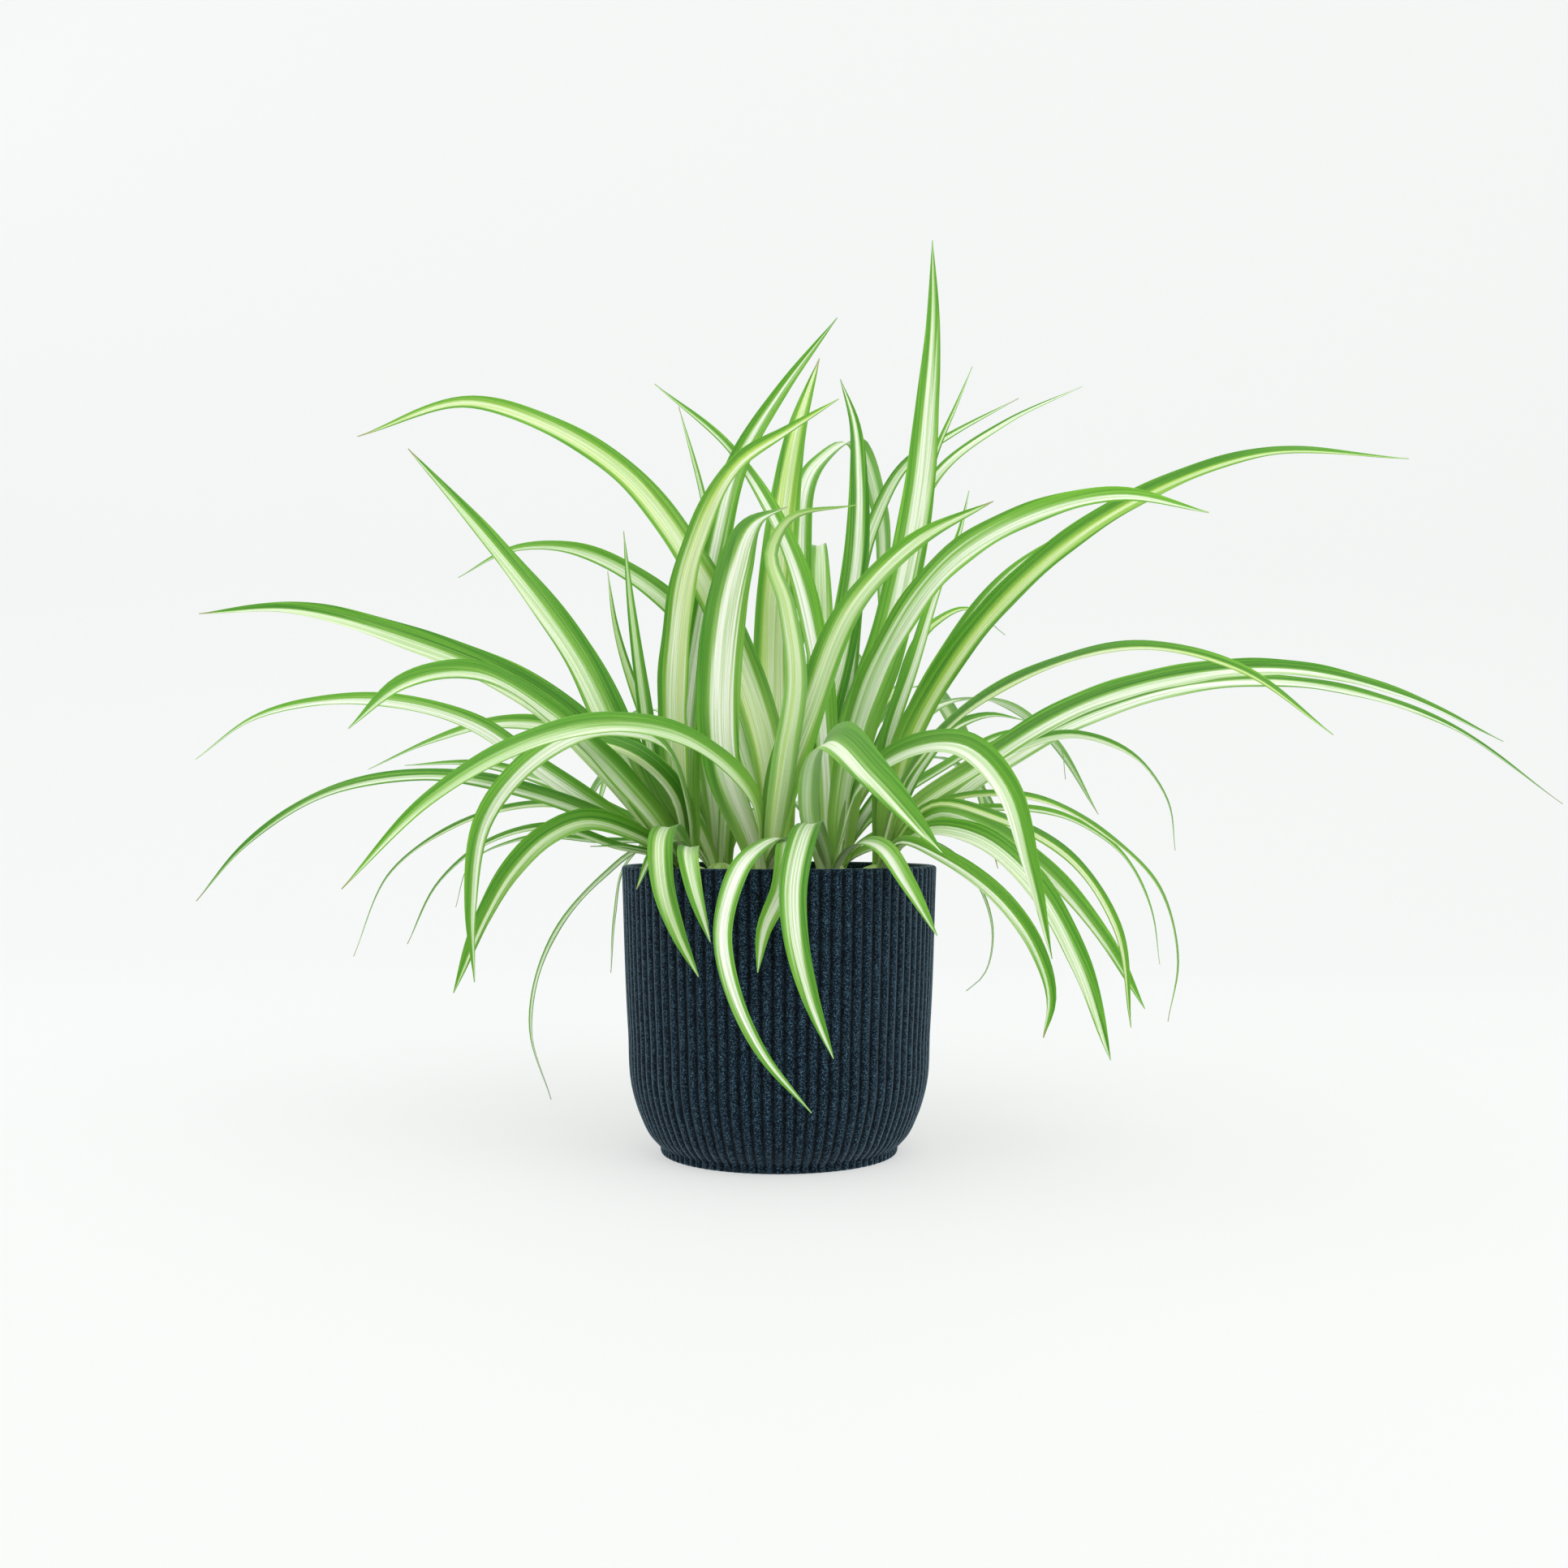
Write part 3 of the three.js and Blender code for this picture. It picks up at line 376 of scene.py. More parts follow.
def planned_leaf(rosette, width, fullness, root_turn, tip_turn, points):
    """A leaf as stations from its crown outwards, with its width and how it is turned."""
    x, y = CROWNS[rosette]
    out = np.array([points[0, 0] - x, points[0, 1] - y, 0])
    lean = np.linalg.norm(out) / (points[0, 2] - SOIL_TOP)
    out = unit(out) * min(0.55, 0.3 + 0.15 * lean) * CROWN_RADIUS
    foot = [x + 0.4 * out[0], y + 0.4 * out[1], SOIL_TOP - ROOT_DEPTH]
    neck = [x + out[0], y + out[1], SOIL_TOP + NECK_RISE]
    path = np.vstack([foot, neck, points])
    stations, shares, length = stations_through(path)
    across = unit(np.array([y - points[-1, 1], points[-1, 0] - x, 0]))
    return SimpleNamespace(
        rosette=rosette, width=width, fullness=fullness, root_turn=root_turn, tip_turn=tip_turn,
        path=path, stations=stations, shares=shares, length=length, across=across,
    )


def half_width(width, full, s, tip):
    """Half of a leaf's flat width at a share s of its length: narrow at the root, then wider, then tapered
    to a fine tip. A fuller leaf is widest nearer its tip."""
    root = 0.72 - 0.34 * full
    rise = root + (1 - root) * smooth(s / (0.26 + 0.36 * full))
    taper = np.clip(1 - s ** (2.3 + 3.2 * full), 0, 1) ** 0.9
    return np.maximum(tip, width * rise * taper) / 2


def fold_angle(s):
    """How far each half of the blade is folded up from flat, in radians."""
    return np.radians(15 + 20 * (1 - smooth(s / 0.3)) + 8 * s * s)


def turned_frames(along, across, root_turn, tip_turn, s):
    """The directions across the blade and out of its upper face: the leaf's own direction across, made
    square to the line and turned about it by an angle that grows from its root."""
    side = np.where(across[..., 1:2] >= 0, 1, -1)
    flat = unit(across - np.sum(across * along, axis=-1, keepdims=True) * along)
    turn = np.radians(root_turn + (tip_turn - root_turn) * s) * smooth(s / 0.15)
    turn = side * turn[..., None]
    turned = flat * np.cos(turn) + np.cross(along, flat) * np.sin(turn)
    return turned, np.cross(along, turned)


class Bending:
    """All the leaves' stations in one array, bent clear of each other and of the pot in small steps that
    the two leaves that meet share."""

    def __init__(self, leaves):
        counts = np.array([len(leaf.stations) for leaf in leaves])
        self.firsts = np.concatenate([[0], np.cumsum(counts)[:-1]])
        self.owner = np.repeat(np.arange(len(leaves)), counts)
        self.spots = np.vstack([leaf.stations for leaf in leaves])
        self.share = np.concatenate([leaf.shares for leaf in leaves])
        self.width = np.array([leaf.width for leaf in leaves], float)
        self.fullness = np.array([leaf.fullness for leaf in leaves], float)
        self.length = np.array([leaf.length for leaf in leaves])
        self.turns = np.array([[leaf.root_turn, leaf.tip_turn] for leaf in leaves], float)
        self.across = np.array([leaf.across for leaf in leaves])
        self.rosette = np.array([list(CROWNS).index(leaf.rosette) for leaf in leaves])
        index = np.arange(len(self.spots))
        self.before = np.where(np.isin(index, self.firsts), index, index - 1)
        lasts = self.firsts + counts - 1
        self.after = np.where(np.isin(index, lasts), index, index + 1)
        self.starts = index[~np.isin(index, lasts)]
        a, b = np.meshgrid(self.starts, self.starts, indexing="ij")
        apart = self.owner[a] < self.owner[b]
        a, b = a[apart], b[apart]
        pair = self.owner[a] * len(leaves) + self.owner[b]
        order = np.argsort(pair, kind="stable")
        self.a, self.b, self.pair = a[order], b[order], pair[order]
        self.pair_starts = np.flatnonzero(np.diff(self.pair, prepend=-1))
        slots = self.firsts[:, None] + np.arange(counts.max())
        self.inside = np.arange(counts.max()) < counts[:, None]
        self.slots = np.where(self.inside, slots, 0)

    def reach(self, owner, station, s, d):
        """How far a blade's V-shaped section reaches from its centre line in direction d."""
        half = half_width(self.width[owner], self.fullness[owner], s, TIP_WIDTH)
        fold = fold_angle(s)
        rib = -0.5 * half * np.sin(fold) * np.sum(self.up[station] * d, axis=-1)
        edge = np.abs(np.sum(self.side[station] * d, axis=-1)) * half * np.cos(fold) - rib
        return np.maximum(rib, edge) + 0.5 * LEAF_THICKNESS / np.cos(fold)

    def swing(self, moves, owner, at, move):
        """Swings leaves by a move at one share of their length: nothing at the root, all of it beyond."""
        slots = self.slots[owner]
        weight = smooth(self.share[slots] / np.maximum(STILL_SHARE, at)[:, None]) * self.inside[owner]
        np.add.at(moves, slots, weight[..., None] * move[:, None, :])

    def contacts(self):
        """The worst place of each pair of leaves that come closer than their blades allow."""
        p, q = self.spots[self.a], self.spots[self.b]
        u, v = self.spots[self.a + 1] - p, self.spots[self.b + 1] - q
        w = p - q
        uu, uv, vv = (np.sum(m * n, axis=1) for m, n in ((u, u), (u, v), (v, v)))
        uw, vw = np.sum(u * w, axis=1), np.sum(v * w, axis=1)
        det = uu * vv - uv * uv
        s = np.where(det > 1e-9, np.clip((uv * vw - vv * uw) / np.maximum(det, 1e-9), 0, 1), 0.5)
        t = np.clip((uv * s + vw) / vv, 0, 1)
        s = np.clip((uv * t - uw) / uu, 0, 1)
        apart = q + t[:, None] * v - p - s[:, None] * u
        distance = np.linalg.norm(apart, axis=1)
        near = (distance <= CONTACT_REACH) & (distance >= 1e-6)
        short = np.full(len(s), -1.0)
        a, b, s, t, d = self.a[near], self.b[near], s[near], t[near], unit(apart[near])
        one, two = self.owner[a], self.owner[b]
        at_one = self.share[a] + s * (self.share[a + 1] - self.share[a])
        at_two = self.share[b] + t * (self.share[b + 1] - self.share[b])
        reach_one = self.reach(one, a + (s >= 0.5), at_one, d)
        need = reach_one + self.reach(two, b + (t >= 0.5), at_two, -d) + LEAF_GAP
        free = np.minimum(at_one * self.length[one], at_two * self.length[two])
        joined = self.rosette[one] == self.rosette[two]
        need = np.where(joined, need * smooth((free - MERGED_LENGTH) / PARTING_LENGTH), need)
        short[near] = need - distance[near]
        sizes = np.diff(np.append(self.pair_starts, len(short)))
        worst = np.repeat(np.maximum.reduceat(short, self.pair_starts), sizes)
        chosen = (short > 0) & (short == worst)
        kept = chosen[near]
        _, first = np.unique(self.pair[near][kept], return_index=True)
        rows = np.flatnonzero(kept)[first]
        return one[rows], two[rows], at_one[rows], at_two[rows], d[rows], short[near][rows]

    def clear_of_pot(self, moves):
        """Lifts leaves over the pot's rim and pushes them off its wall."""
        middle = RIM_RADIUS - WALL / 2
        start, part = (m.ravel() for m in np.meshgrid(self.starts, np.arange(4) / 4, indexing="ij"))
        owner = self.owner[start]
        at = self.share[start] + part * (self.share[start + 1] - self.share[start])
        free = at * self.length[owner] >= STILL_LENGTH
        start, part, owner, at = start[free], part[free], owner[free], at[free]
        p = self.spots[start] + part[:, None] * (self.spots[start + 1] - self.spots[start])
        radius = np.hypot(p[:, 0], p[:, 1])
        outward = np.column_stack([p[:, 0] / radius, p[:, 1] / radius, 0 * radius])
        down = np.tile([0.0, 0, -1], (len(p), 1))
        station = start + (part >= 0.5)
        up_need = self.reach(owner, station, at, down) + LEAF_GAP
        out_need = self.reach(owner, station, at, -outward) + LEAF_GAP
        over = (p[:, 2] > POT_HEIGHT - RIM_DEPTH) & (np.abs(radius - middle) < WALL / 2 + out_need)
        beside = (p[:, 2] <= POT_HEIGHT - RIM_DEPTH) & (radius > middle)
        lift = np.where(over, POT_HEIGHT + up_need - p[:, 2], 0)
        push = np.where(beside, RIM_RADIUS + out_need - radius, 0)
        for short, way in ((lift, -down), (push, outward)):
            hit = short > 0
            self.swing(moves, owner[hit], at[hit], 0.5 * short[hit, None] * way[hit])

    def run(self):
        """Bends the leaves clear and gives each leaf's stations."""
        for _ in range(CLEARING_PASSES):
            along = unit(self.spots[self.after] - self.spots[self.before])
            root_turn, tip_turn = self.turns[self.owner].T
            self.side, self.up = turned_frames(
                along, self.across[self.owner], root_turn, tip_turn, self.share,
            )
            moves = np.zeros_like(self.spots)
            one, two, at_one, at_two, d, short = self.contacts()
            push = 0.5 * CLEARING_RATE * short[:, None] * d
            self.swing(moves, one, at_one, -push)
            self.swing(moves, two, at_two, push)
            self.clear_of_pot(moves)
            self.spots = self.spots + moves
        return np.split(self.spots, self.firsts[1:])


def all_leaves():
    """Every leaf, planned from the tables and bent clear, with the move that each of its stations made."""
    leaves = []
    for rosette, rows in LEAVES.items():
        for width, fullness, root_turn, tip_turn, *points in rows:
            leaves.append(planned_leaf(rosette, width, fullness, root_turn, tip_turn, seen(points)))
    for rosette, rows in FAR_LEAVES.items():
        for width, *arch in rows:
            points = arch_points(CROWNS[rosette], *arch)
            leaves.append(planned_leaf(rosette, width, FAR_FULLNESS, 0, 0, points))
    for leaf, bent in zip(leaves, Bending(leaves).run()):
        leaf.moves = bent - leaf.stations
    return leaves


def blade(leaf, rng):
    """A leaf as a closed thin surface. Its centre line is the smooth curve through its points, moved as its
    stations were moved. Each section is a channel whose height is the square root of the distance from the
    midrib squared plus a little, so that the keel is round, less a slight curl at the edges, with a small
    wave that grows towards them. The lower face lies one thickness under it."""
    dense = curve_of(leaf.path, 240)
    run = run_of(dense)
    share = run / run[-1]
    steps = int(np.clip(leaf.length / FACE_LENGTH, 16, 110))
    s = np.linspace(0, 1, steps + 1)
    line = np.column_stack([np.interp(s, share, dense[:, k]) for k in range(3)])
    line = line + on_curve(leaf.shares, leaf.moves, s)
    along = unit(np.gradient(line, axis=0))
    sway = 5 * np.sin(2 * np.pi * (s * rng.uniform(0.8, 1.7) + rng.uniform())) * smooth(s / 0.4)
    level = np.tile(leaf.across, (len(s), 1))
    side, up = turned_frames(along, level, leaf.root_turn + sway, leaf.tip_turn + sway, s)
    half = half_width(leaf.width, leaf.fullness, s, POINT_WIDTH)[:, None]
    fold = fold_angle(s)[:, None]
    c = COLUMNS[None, :]
    waves = s[:, None] * leaf.length / rng.uniform(38, 60) + rng.uniform()
    wave = np.sin(2 * np.pi * (waves + 0.25 * np.sign(c)))
    height = (np.sqrt(c * c + 0.012) - 0.5 - 0.1 * c ** 4) * half * np.sin(fold)
    height = height + 0.045 * half * wave * c * c * smooth(s[:, None] / 0.3)
    middle = line[:, None, :] + (c * half * np.cos(fold))[..., None] * side[:, None, :]
    middle = middle + height[..., None] * up[:, None, :]
    thick = 0.5 * BLADE_THICKNESS * (1 - 0.6 * c * c) * (1 - 0.35 * s[:, None])
    top = middle + thick[..., None] * up[:, None, :]
    low = middle - thick[..., None] * up[:, None, :]
    ring = np.concatenate([top, low[:, ::-1]], axis=1)
    across = np.concatenate([COLUMNS, COLUMNS[::-1]])
    under = np.repeat([0.0, 1.0], len(COLUMNS))
    shape = ring.shape[:2]
    return SimpleNamespace(
        points=ring.reshape(-1, 3),
        faces=tube_faces(*shape),
        blade=np.column_stack([
            np.broadcast_to(across * 0.5 + 0.5, shape).ravel(), np.repeat(s, shape[1]),
        ]),
        size=np.column_stack([(across[None] * half).ravel(), np.repeat(s * leaf.length, shape[1])]),
        under=np.broadcast_to(under, shape).ravel(),
        tone=np.full(shape[0] * shape[1], rng.uniform()),
        stripe=np.full(shape[0] * shape[1], rng.uniform(-0.14, 0.14) - STRIPE_SAG * side[len(s) // 2, 2]),
    )


def ring_quads(rings, around):
    """The quads between each ring of points and the next one."""
    first = np.arange(rings - 1)[:, None] * around
    here, beside = first + np.arange(around), first + (np.arange(around) + 1) % around
    return np.stack([here, beside, beside + around, here + around], axis=-1).reshape(-1, 4)


def tube_faces(rings, around):
    """Quads of a tube of flattened rings, with both ends closed by quads from one face to the other."""
    sides = ring_quads(rings, around)[:, [0, 3, 2, 1]]
    k = np.arange(around // 2 - 1)
    start = np.column_stack([k, k + 1, around - 2 - k, around - 1 - k])
    end = start[:, ::-1] + (rings - 1) * around
    return np.vstack([sides, start, end])


def crown_stock(place, rng):
    """The short pale stock of a rosette: a round dome of overlapping leaf bases, whose radius swells and
    shrinks round it with five lobes that lean as they rise."""
    t = np.linspace(0, 1, 15)[:, None]
    a = np.linspace(0, 2 * np.pi, 40, endpoint=False)[None]
    z = SOIL_TOP - ROOT_DEPTH + t * (ROOT_DEPTH + CROWN_RISE)
    lobes = 1 + 0.07 * np.cos(5 * a + 3 * t + rng.uniform(0, 6)) + 0.04 * np.cos(11 * a - 2 * t)
    radius = CROWN_RADIUS * 0.93 * np.sqrt(np.clip(1 - (t - 0.25) ** 4 / 0.33, 0.02, 1)) * lobes
    points = np.stack([
        place[0] + radius * np.cos(a), place[1] + radius * np.sin(a), np.broadcast_to(z, radius.shape),
    ], axis=-1)
    count = radius.size
    return SimpleNamespace(
        points=points.reshape(-1, 3),
        faces=tube_faces(*radius.shape)[:, ::-1],
        blade=np.column_stack([
            np.broadcast_to((a * 5 / (2 * np.pi)) % 1, radius.shape).ravel(), np.full(count, 0.01),
        ]),
        size=np.column_stack([np.broadcast_to(a * 9, radius.shape).ravel(), z.repeat(40)]),
        under=np.full(count, 0.3),
        tone=np.full(count, 0.5),
        stripe=np.zeros(count),
    )


def made_mesh(name, points, faces, material, sharp=None, uvs=None, values=None):
    """A piece at the origin, from points in millimetres and faces, with its own UV maps and attributes."""
    mesh = bpy.data.meshes.new(name)
    mesh.from_pydata((points * MM).tolist(), [], [list(map(int, f)) for f in faces])
    corners = np.zeros(len(mesh.loops), np.int32)
    mesh.loops.foreach_get("vertex_index", corners)
    for key, uv in (uvs or {}).items():
        layer = mesh.uv_layers.new(name=key)
        layer.data.foreach_set("uv", uv[corners].astype(np.float32).ravel())
    for key, value in (values or {}).items():
        attribute = mesh.attributes.new(key, "FLOAT", "POINT")
        attribute.data.foreach_set("value", value.astype(np.float32))
    mesh.shade_smooth()
    if sharp is not None:
        mesh.set_sharp_from_angle(angle=np.radians(sharp))
    mesh.materials.append(material)
    piece = bpy.data.objects.new(name, mesh)
    bpy.context.scene.collection.objects.link(piece)
    return piece


def dress(piece, node):
    """The piece stands for its node: it rides on the one body, and the node's own solid is hidden."""
    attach(piece, "root")
    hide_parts(node)


def make_rosettes(material):
    """Seven pieces, each a crown with its fine leaves."""
    rng = np.random.default_rng(SEED)
    parts = {name: [crown_stock(place, rng)] for name, place in CROWNS.items()}
    for leaf in all_leaves():
        parts[leaf.rosette].append(blade(leaf, rng))
    for name, blades in parts.items():
        starts = np.cumsum([0] + [len(b.points) for b in blades[:-1]])
        piece = made_mesh(
            name + "_leaves",
            np.vstack([b.points for b in blades]),
            np.vstack([b.faces + start for b, start in zip(blades, starts)]),
            material,
            sharp=50,
            uvs={key: np.vstack([getattr(b, key) for b in blades]) for key in ("blade", "size")},
            values={
                key: np.concatenate([getattr(b, key) for b in blades]) for key in ("under", "tone", "stripe")
            },
        )
        dress(piece, name)


def turned_shell(profile, columns):
    """Points and faces of a profile of (radius, height) rows turned round the axis, closed at both ends by
    fans. The radius may be an array with a value for each column."""
    a = np.arange(columns) / columns * 2 * np.pi
    radius, height = profile
    height_all = np.broadcast_to(height, radius.shape)
    points = np.stack([radius * np.cos(a), radius * np.sin(a), height_all], axis=-1)
    faces = ring_quads(len(radius), columns).tolist()
    count = radius.size
    ends = np.array([[0, 0, height[0, 0]], [0, 0, height[-1, 0]]])
    here = np.arange(columns)
    beside = (here + 1) % columns
    last = count - columns
    faces += np.column_stack([np.full(columns, count), beside, here]).tolist()
    faces += np.column_stack([np.full(columns, count + 1), last + here, last + beside]).tolist()
    return np.vstack([points.reshape(-1, 3), ends]), faces


def inner_radius(height):
    """Radius of the pot's inside at a height: the outside less the ribs and the wall."""
    return np.interp(height, POT_PROFILE[:, 0], POT_PROFILE[:, 1]) - GROOVE - WALL


def make_pot(material):
    """The pot: its profile, a smooth curve above the foot, turned round the axis. Round ribs stand on the
    outside, with a depth of the cube of the sine of half the rib angle, which makes the grooves narrow.
    The rim is rounded, and the inside is plain."""
    rise = np.concatenate([np.linspace(3.6, 31, 22), np.linspace(34, POT_HEIGHT - RIM_ROUND, 26)])
    curve = POT_PROFILE[1:]
    outside = on_curve(curve[:, 0], curve[:, 1:], rise)[:, 0]
    rim = np.linspace(0, np.pi, 9)[1:-1]
    mid = RIM_RADIUS - RIM_HALF
    down = np.linspace(POT_HEIGHT - RIM_ROUND, FLOOR + 4, 14)
    radius = np.concatenate([
        [30, 54, 56.6, 57.6, 58], outside, mid + RIM_HALF * np.cos(rim),
        inner_radius(down) + 0.1, [inner_radius(9.0) - 5, 20],
    ])
    height = np.concatenate([
        [0, 0, 0, 0.5, 1.6], rise, POT_HEIGHT - RIM_ROUND + RIM_ROUND * np.sin(rim), down, [FLOOR, FLOOR],
    ])
    depth = np.concatenate([
        [0, 0, 0.3, 0.7, 0.9], np.ones(len(outside)),
        np.clip(np.cos(rim), 0, 1) ** 0.7, np.zeros(len(down) + 2),
    ])
    columns = RIBS * RIB_COLUMNS
    a = np.arange(columns) / columns * 2 * np.pi
    groove = np.abs(np.sin(a * RIBS / 2)) ** 3
    shaped = radius[:, None] - GROOVE * depth[:, None] * groove[None]
    points, faces = turned_shell((shaped, height[:, None]), columns)
    # ridge is 1 on the ribs and 0 at the bottom of each groove; the finish uses it to paint shade into the
    # grooves.
    ridge = 1 - (depth[:, None] * groove[None]).ravel()
    values = {"ridge": np.append(ridge, [1, 1])}
    pot = made_mesh("ribbed_pot", points, faces, material, sharp=60, values=values)
    dress(pot, "pot")


def bumps(x, y, rng, count, size, height):
    """A sum of smooth round bumps of about one size at random places, as an array."""
    places = rng.uniform(-75, 75, (count, 2))
    sizes = size * rng.uniform(0.5, 1.5, count)
    rises = height * rng.uniform(-1, 1, count)
    far = (x[..., None] - places[:, 0]) ** 2 + (y[..., None] - places[:, 1]) ** 2
    return np.sum(rises * np.exp(-far / sizes ** 2), axis=-1)


def crumbs(rng, count):
    """Small rough lumps of soil that lie sunk in its surface: seven-sided beads with uneven radii."""
    a = np.linspace(0, 2 * np.pi, CRUMB_SIDES, endpoint=False)
    b = np.radians([-60, -20, 20, 60])[:, None]
    rings = len(b)
    flat = np.broadcast_to(np.sin(b), (rings, CRUMB_SIDES))
    ball = np.stack([np.cos(b) * np.cos(a), np.cos(b) * np.sin(a), flat], axis=-1)
    reach = 68 * np.sqrt(rng.uniform(0, 1, count))
    turn = rng.uniform(0, 2 * np.pi, count)
    radius = rng.uniform(0.7, 2.3, count) ** 1.2
    place = np.column_stack([reach * np.cos(turn), reach * np.sin(turn), SOIL_TOP + 0.4 + 0.1 * radius])
    rough = rng.uniform(0.7, 1.2, (count, rings, CRUMB_SIDES, 1))
    points = place[:, None, None] + radius[:, None, None, None] * rough * ball * [1, 1, 0.75]
    ring = np.arange(CRUMB_SIDES)
    last = (rings - 1) * CRUMB_SIDES
    starts = np.arange(count) * rings * CRUMB_SIDES
    sides = (ring_quads(rings, CRUMB_SIDES) + starts[:, None, None]).reshape(-1, 4).tolist()
    ends = [(ring[::-1] + s).tolist() for s in starts] + [(ring + last + s).tolist() for s in starts]
    return points.reshape(-1, 3), sides + ends


def make_soil(material):
    """The soil: a turned body whose top is uneven by a sum of round bumps, with loose crumbs on it."""
    rng = np.random.default_rng(SEED + 1)
    a = np.arange(SOIL_COLUMNS) / SOIL_COLUMNS * 2 * np.pi
    reach = np.linspace(inner_radius(SOIL_TOP) - SOIL_GAP, 1, 52)
    side = np.array([FLOOR + 0.4, 18, 31, 60, 100, SOIL_TOP - 3])
    radius = np.concatenate([[20], inner_radius(side) - SOIL_GAP, reach])
    height = np.concatenate([[FLOOR + 0.4], side, np.full(len(reach), SOIL_TOP - 0.6)])
    radius = np.tile(radius[:, None], (1, SOIL_COLUMNS))
    height = np.tile(height[:, None], (1, SOIL_COLUMNS))
    top = np.s_[7:, :]
    x, y = radius[top] * np.cos(a), radius[top] * np.sin(a)
    rough = bumps(x, y, rng, 260, 5, 0.9) + bumps(x, y, rng, 900, 2, 0.5)
    height[top] += np.clip(rough, -2, 1.4) * smooth((73 - radius[top]) / 4 + 0.3)
    points, faces = turned_shell((radius, height), SOIL_COLUMNS)
    loose, loose_faces = crumbs(rng, CRUMBS)
    faces = faces + [[i + len(points) for i in f] for f in loose_faces]
    soil = made_mesh("potting_soil", np.vstack([points, loose]), faces, material, sharp=50)
    dress(soil, "soil")


def sockets(tree, inputs, outputs):
    """Names a shader group's inputs, as (name, type, value), and its outputs, as (name, type)."""
    for name, kind, value in inputs:
        tree.interface.new_socket(name, in_out="INPUT", socket_type=kind).default_value = value
    for name, kind in outputs:
        tree.interface.new_socket(name, in_out="OUTPUT", socket_type=kind)
    return tree.nodes.new("NodeGroupInput").outputs, tree.nodes.new("NodeGroupOutput").inputs


class Nodes:
    """Short ways to add and link the nodes of one shader tree."""

    def __init__(self, tree):
        self.tree = tree

    def add(self, kind, inputs=None, **settings):
        """A new node of a kind, with its settings and its inputs."""
        node = self.tree.nodes.new(kind)
        for key, value in settings.items():
            setattr(node, key, value)
        self.fill(node, inputs or {})
        return node

    def fill(self, node, inputs):
        """Gives each named input a value or another node's output."""
        for key, value in inputs.items():
            self.put(node.inputs[key], value)

    def put(self, socket, value):
        """Links another node's output to a socket, or sets the socket's own value."""
        if isinstance(value, bpy.types.NodeSocket):
            self.tree.links.new(value, socket)
        else:
            socket.default_value = value

    def math(self, operation, a, b=0.0, c=0.0):
        """The result of one sum."""
        node = self.add("ShaderNodeMath", operation=operation)
        for socket, value in zip(node.inputs, (a, b, c)):
            self.put(socket, value)
        return node.outputs[0]

    def step(self, value, low, high):
        """A smooth rise from 0 where the value is low to 1 where it is high."""
        inputs = {"Value": value, "From Min": low, "From Max": high}
        return self.add("ShaderNodeMapRange", inputs, interpolation_type="SMOOTHSTEP").outputs["Result"]

    def blend(self, share, a, b):
        """Colour a where the share is 0, and colour b where it is 1."""
        node = self.add("ShaderNodeMix", data_type="RGBA")
        for socket, value in ((node.inputs[0], share), (node.inputs[6], a), (node.inputs[7], b)):
            self.put(socket, value)
        return node.outputs[2]

    def noise(self, vector, scale, detail=2.0, rough=0.5):
        """Soft noise from 0 to 1."""
        inputs = {"Vector": vector, "Scale": scale, "Detail": detail, "Roughness": rough}
        return self.add("ShaderNodeTexNoise", inputs).outputs["Fac"]

    def join(self, x, y, z=0.0):
        """A vector from its three parts."""
        node = self.add("ShaderNodeCombineXYZ")
        for socket, value in zip(node.inputs, (x, y, z)):
            self.put(socket, value)
        return node.outputs[0]

    def split(self, vector):
        """A vector's three parts."""
        node = self.add("ShaderNodeSeparateXYZ")
        self.put(node.inputs[0], vector)
        return node.outputs


def grain_group():
    """Fine grain that more than one finish has: a mask of uneven patches, a height of small specks and
    grains like salt, each with a tone of its own."""
    tree = bpy.data.node_groups.new("fine grain", "ShaderNodeTree")
    given, out = sockets(
        tree,
        [("Vector", "NodeSocketVector", (0, 0, 0)), ("Size", "NodeSocketFloat", 1.0)],
        [("Patches", "NodeSocketFloat"), ("Specks", "NodeSocketFloat"), ("Grains", "NodeSocketFloat")],
    )
    n = Nodes(tree)
    scale = n.math("DIVIDE", 1000.0, given["Size"])
    cells = n.add("ShaderNodeTexVoronoi", {"Vector": given["Vector"], "Scale": scale})
    n.put(out["Grains"], n.split(cells.outputs["Color"])["X"])
    patches = n.noise(given["Vector"], n.math("MULTIPLY", scale, 0.08), 3, 0.6)
    specks = n.noise(given["Vector"], scale, 3, 0.7)
    n.put(out["Patches"], patches)
    n.put(out["Specks"], specks)
    return tree


def new_material(name):
    """An empty material with a Principled BSDF, its node helper and its shader."""
    material = bpy.data.materials.new(name)
    material.use_nodes = True
    n = Nodes(material.node_tree)
    return material, n, material.node_tree.nodes["Principled BSDF"]


def grain(n, tree, size):
    """A placed grain group that reads Object coordinates, for specks of a size in millimetres."""
    place = n.add("ShaderNodeTexCoord").outputs["Object"]
    return n.add("ShaderNodeGroup", {"Vector": place, "Size": size}, node_tree=tree).outputs


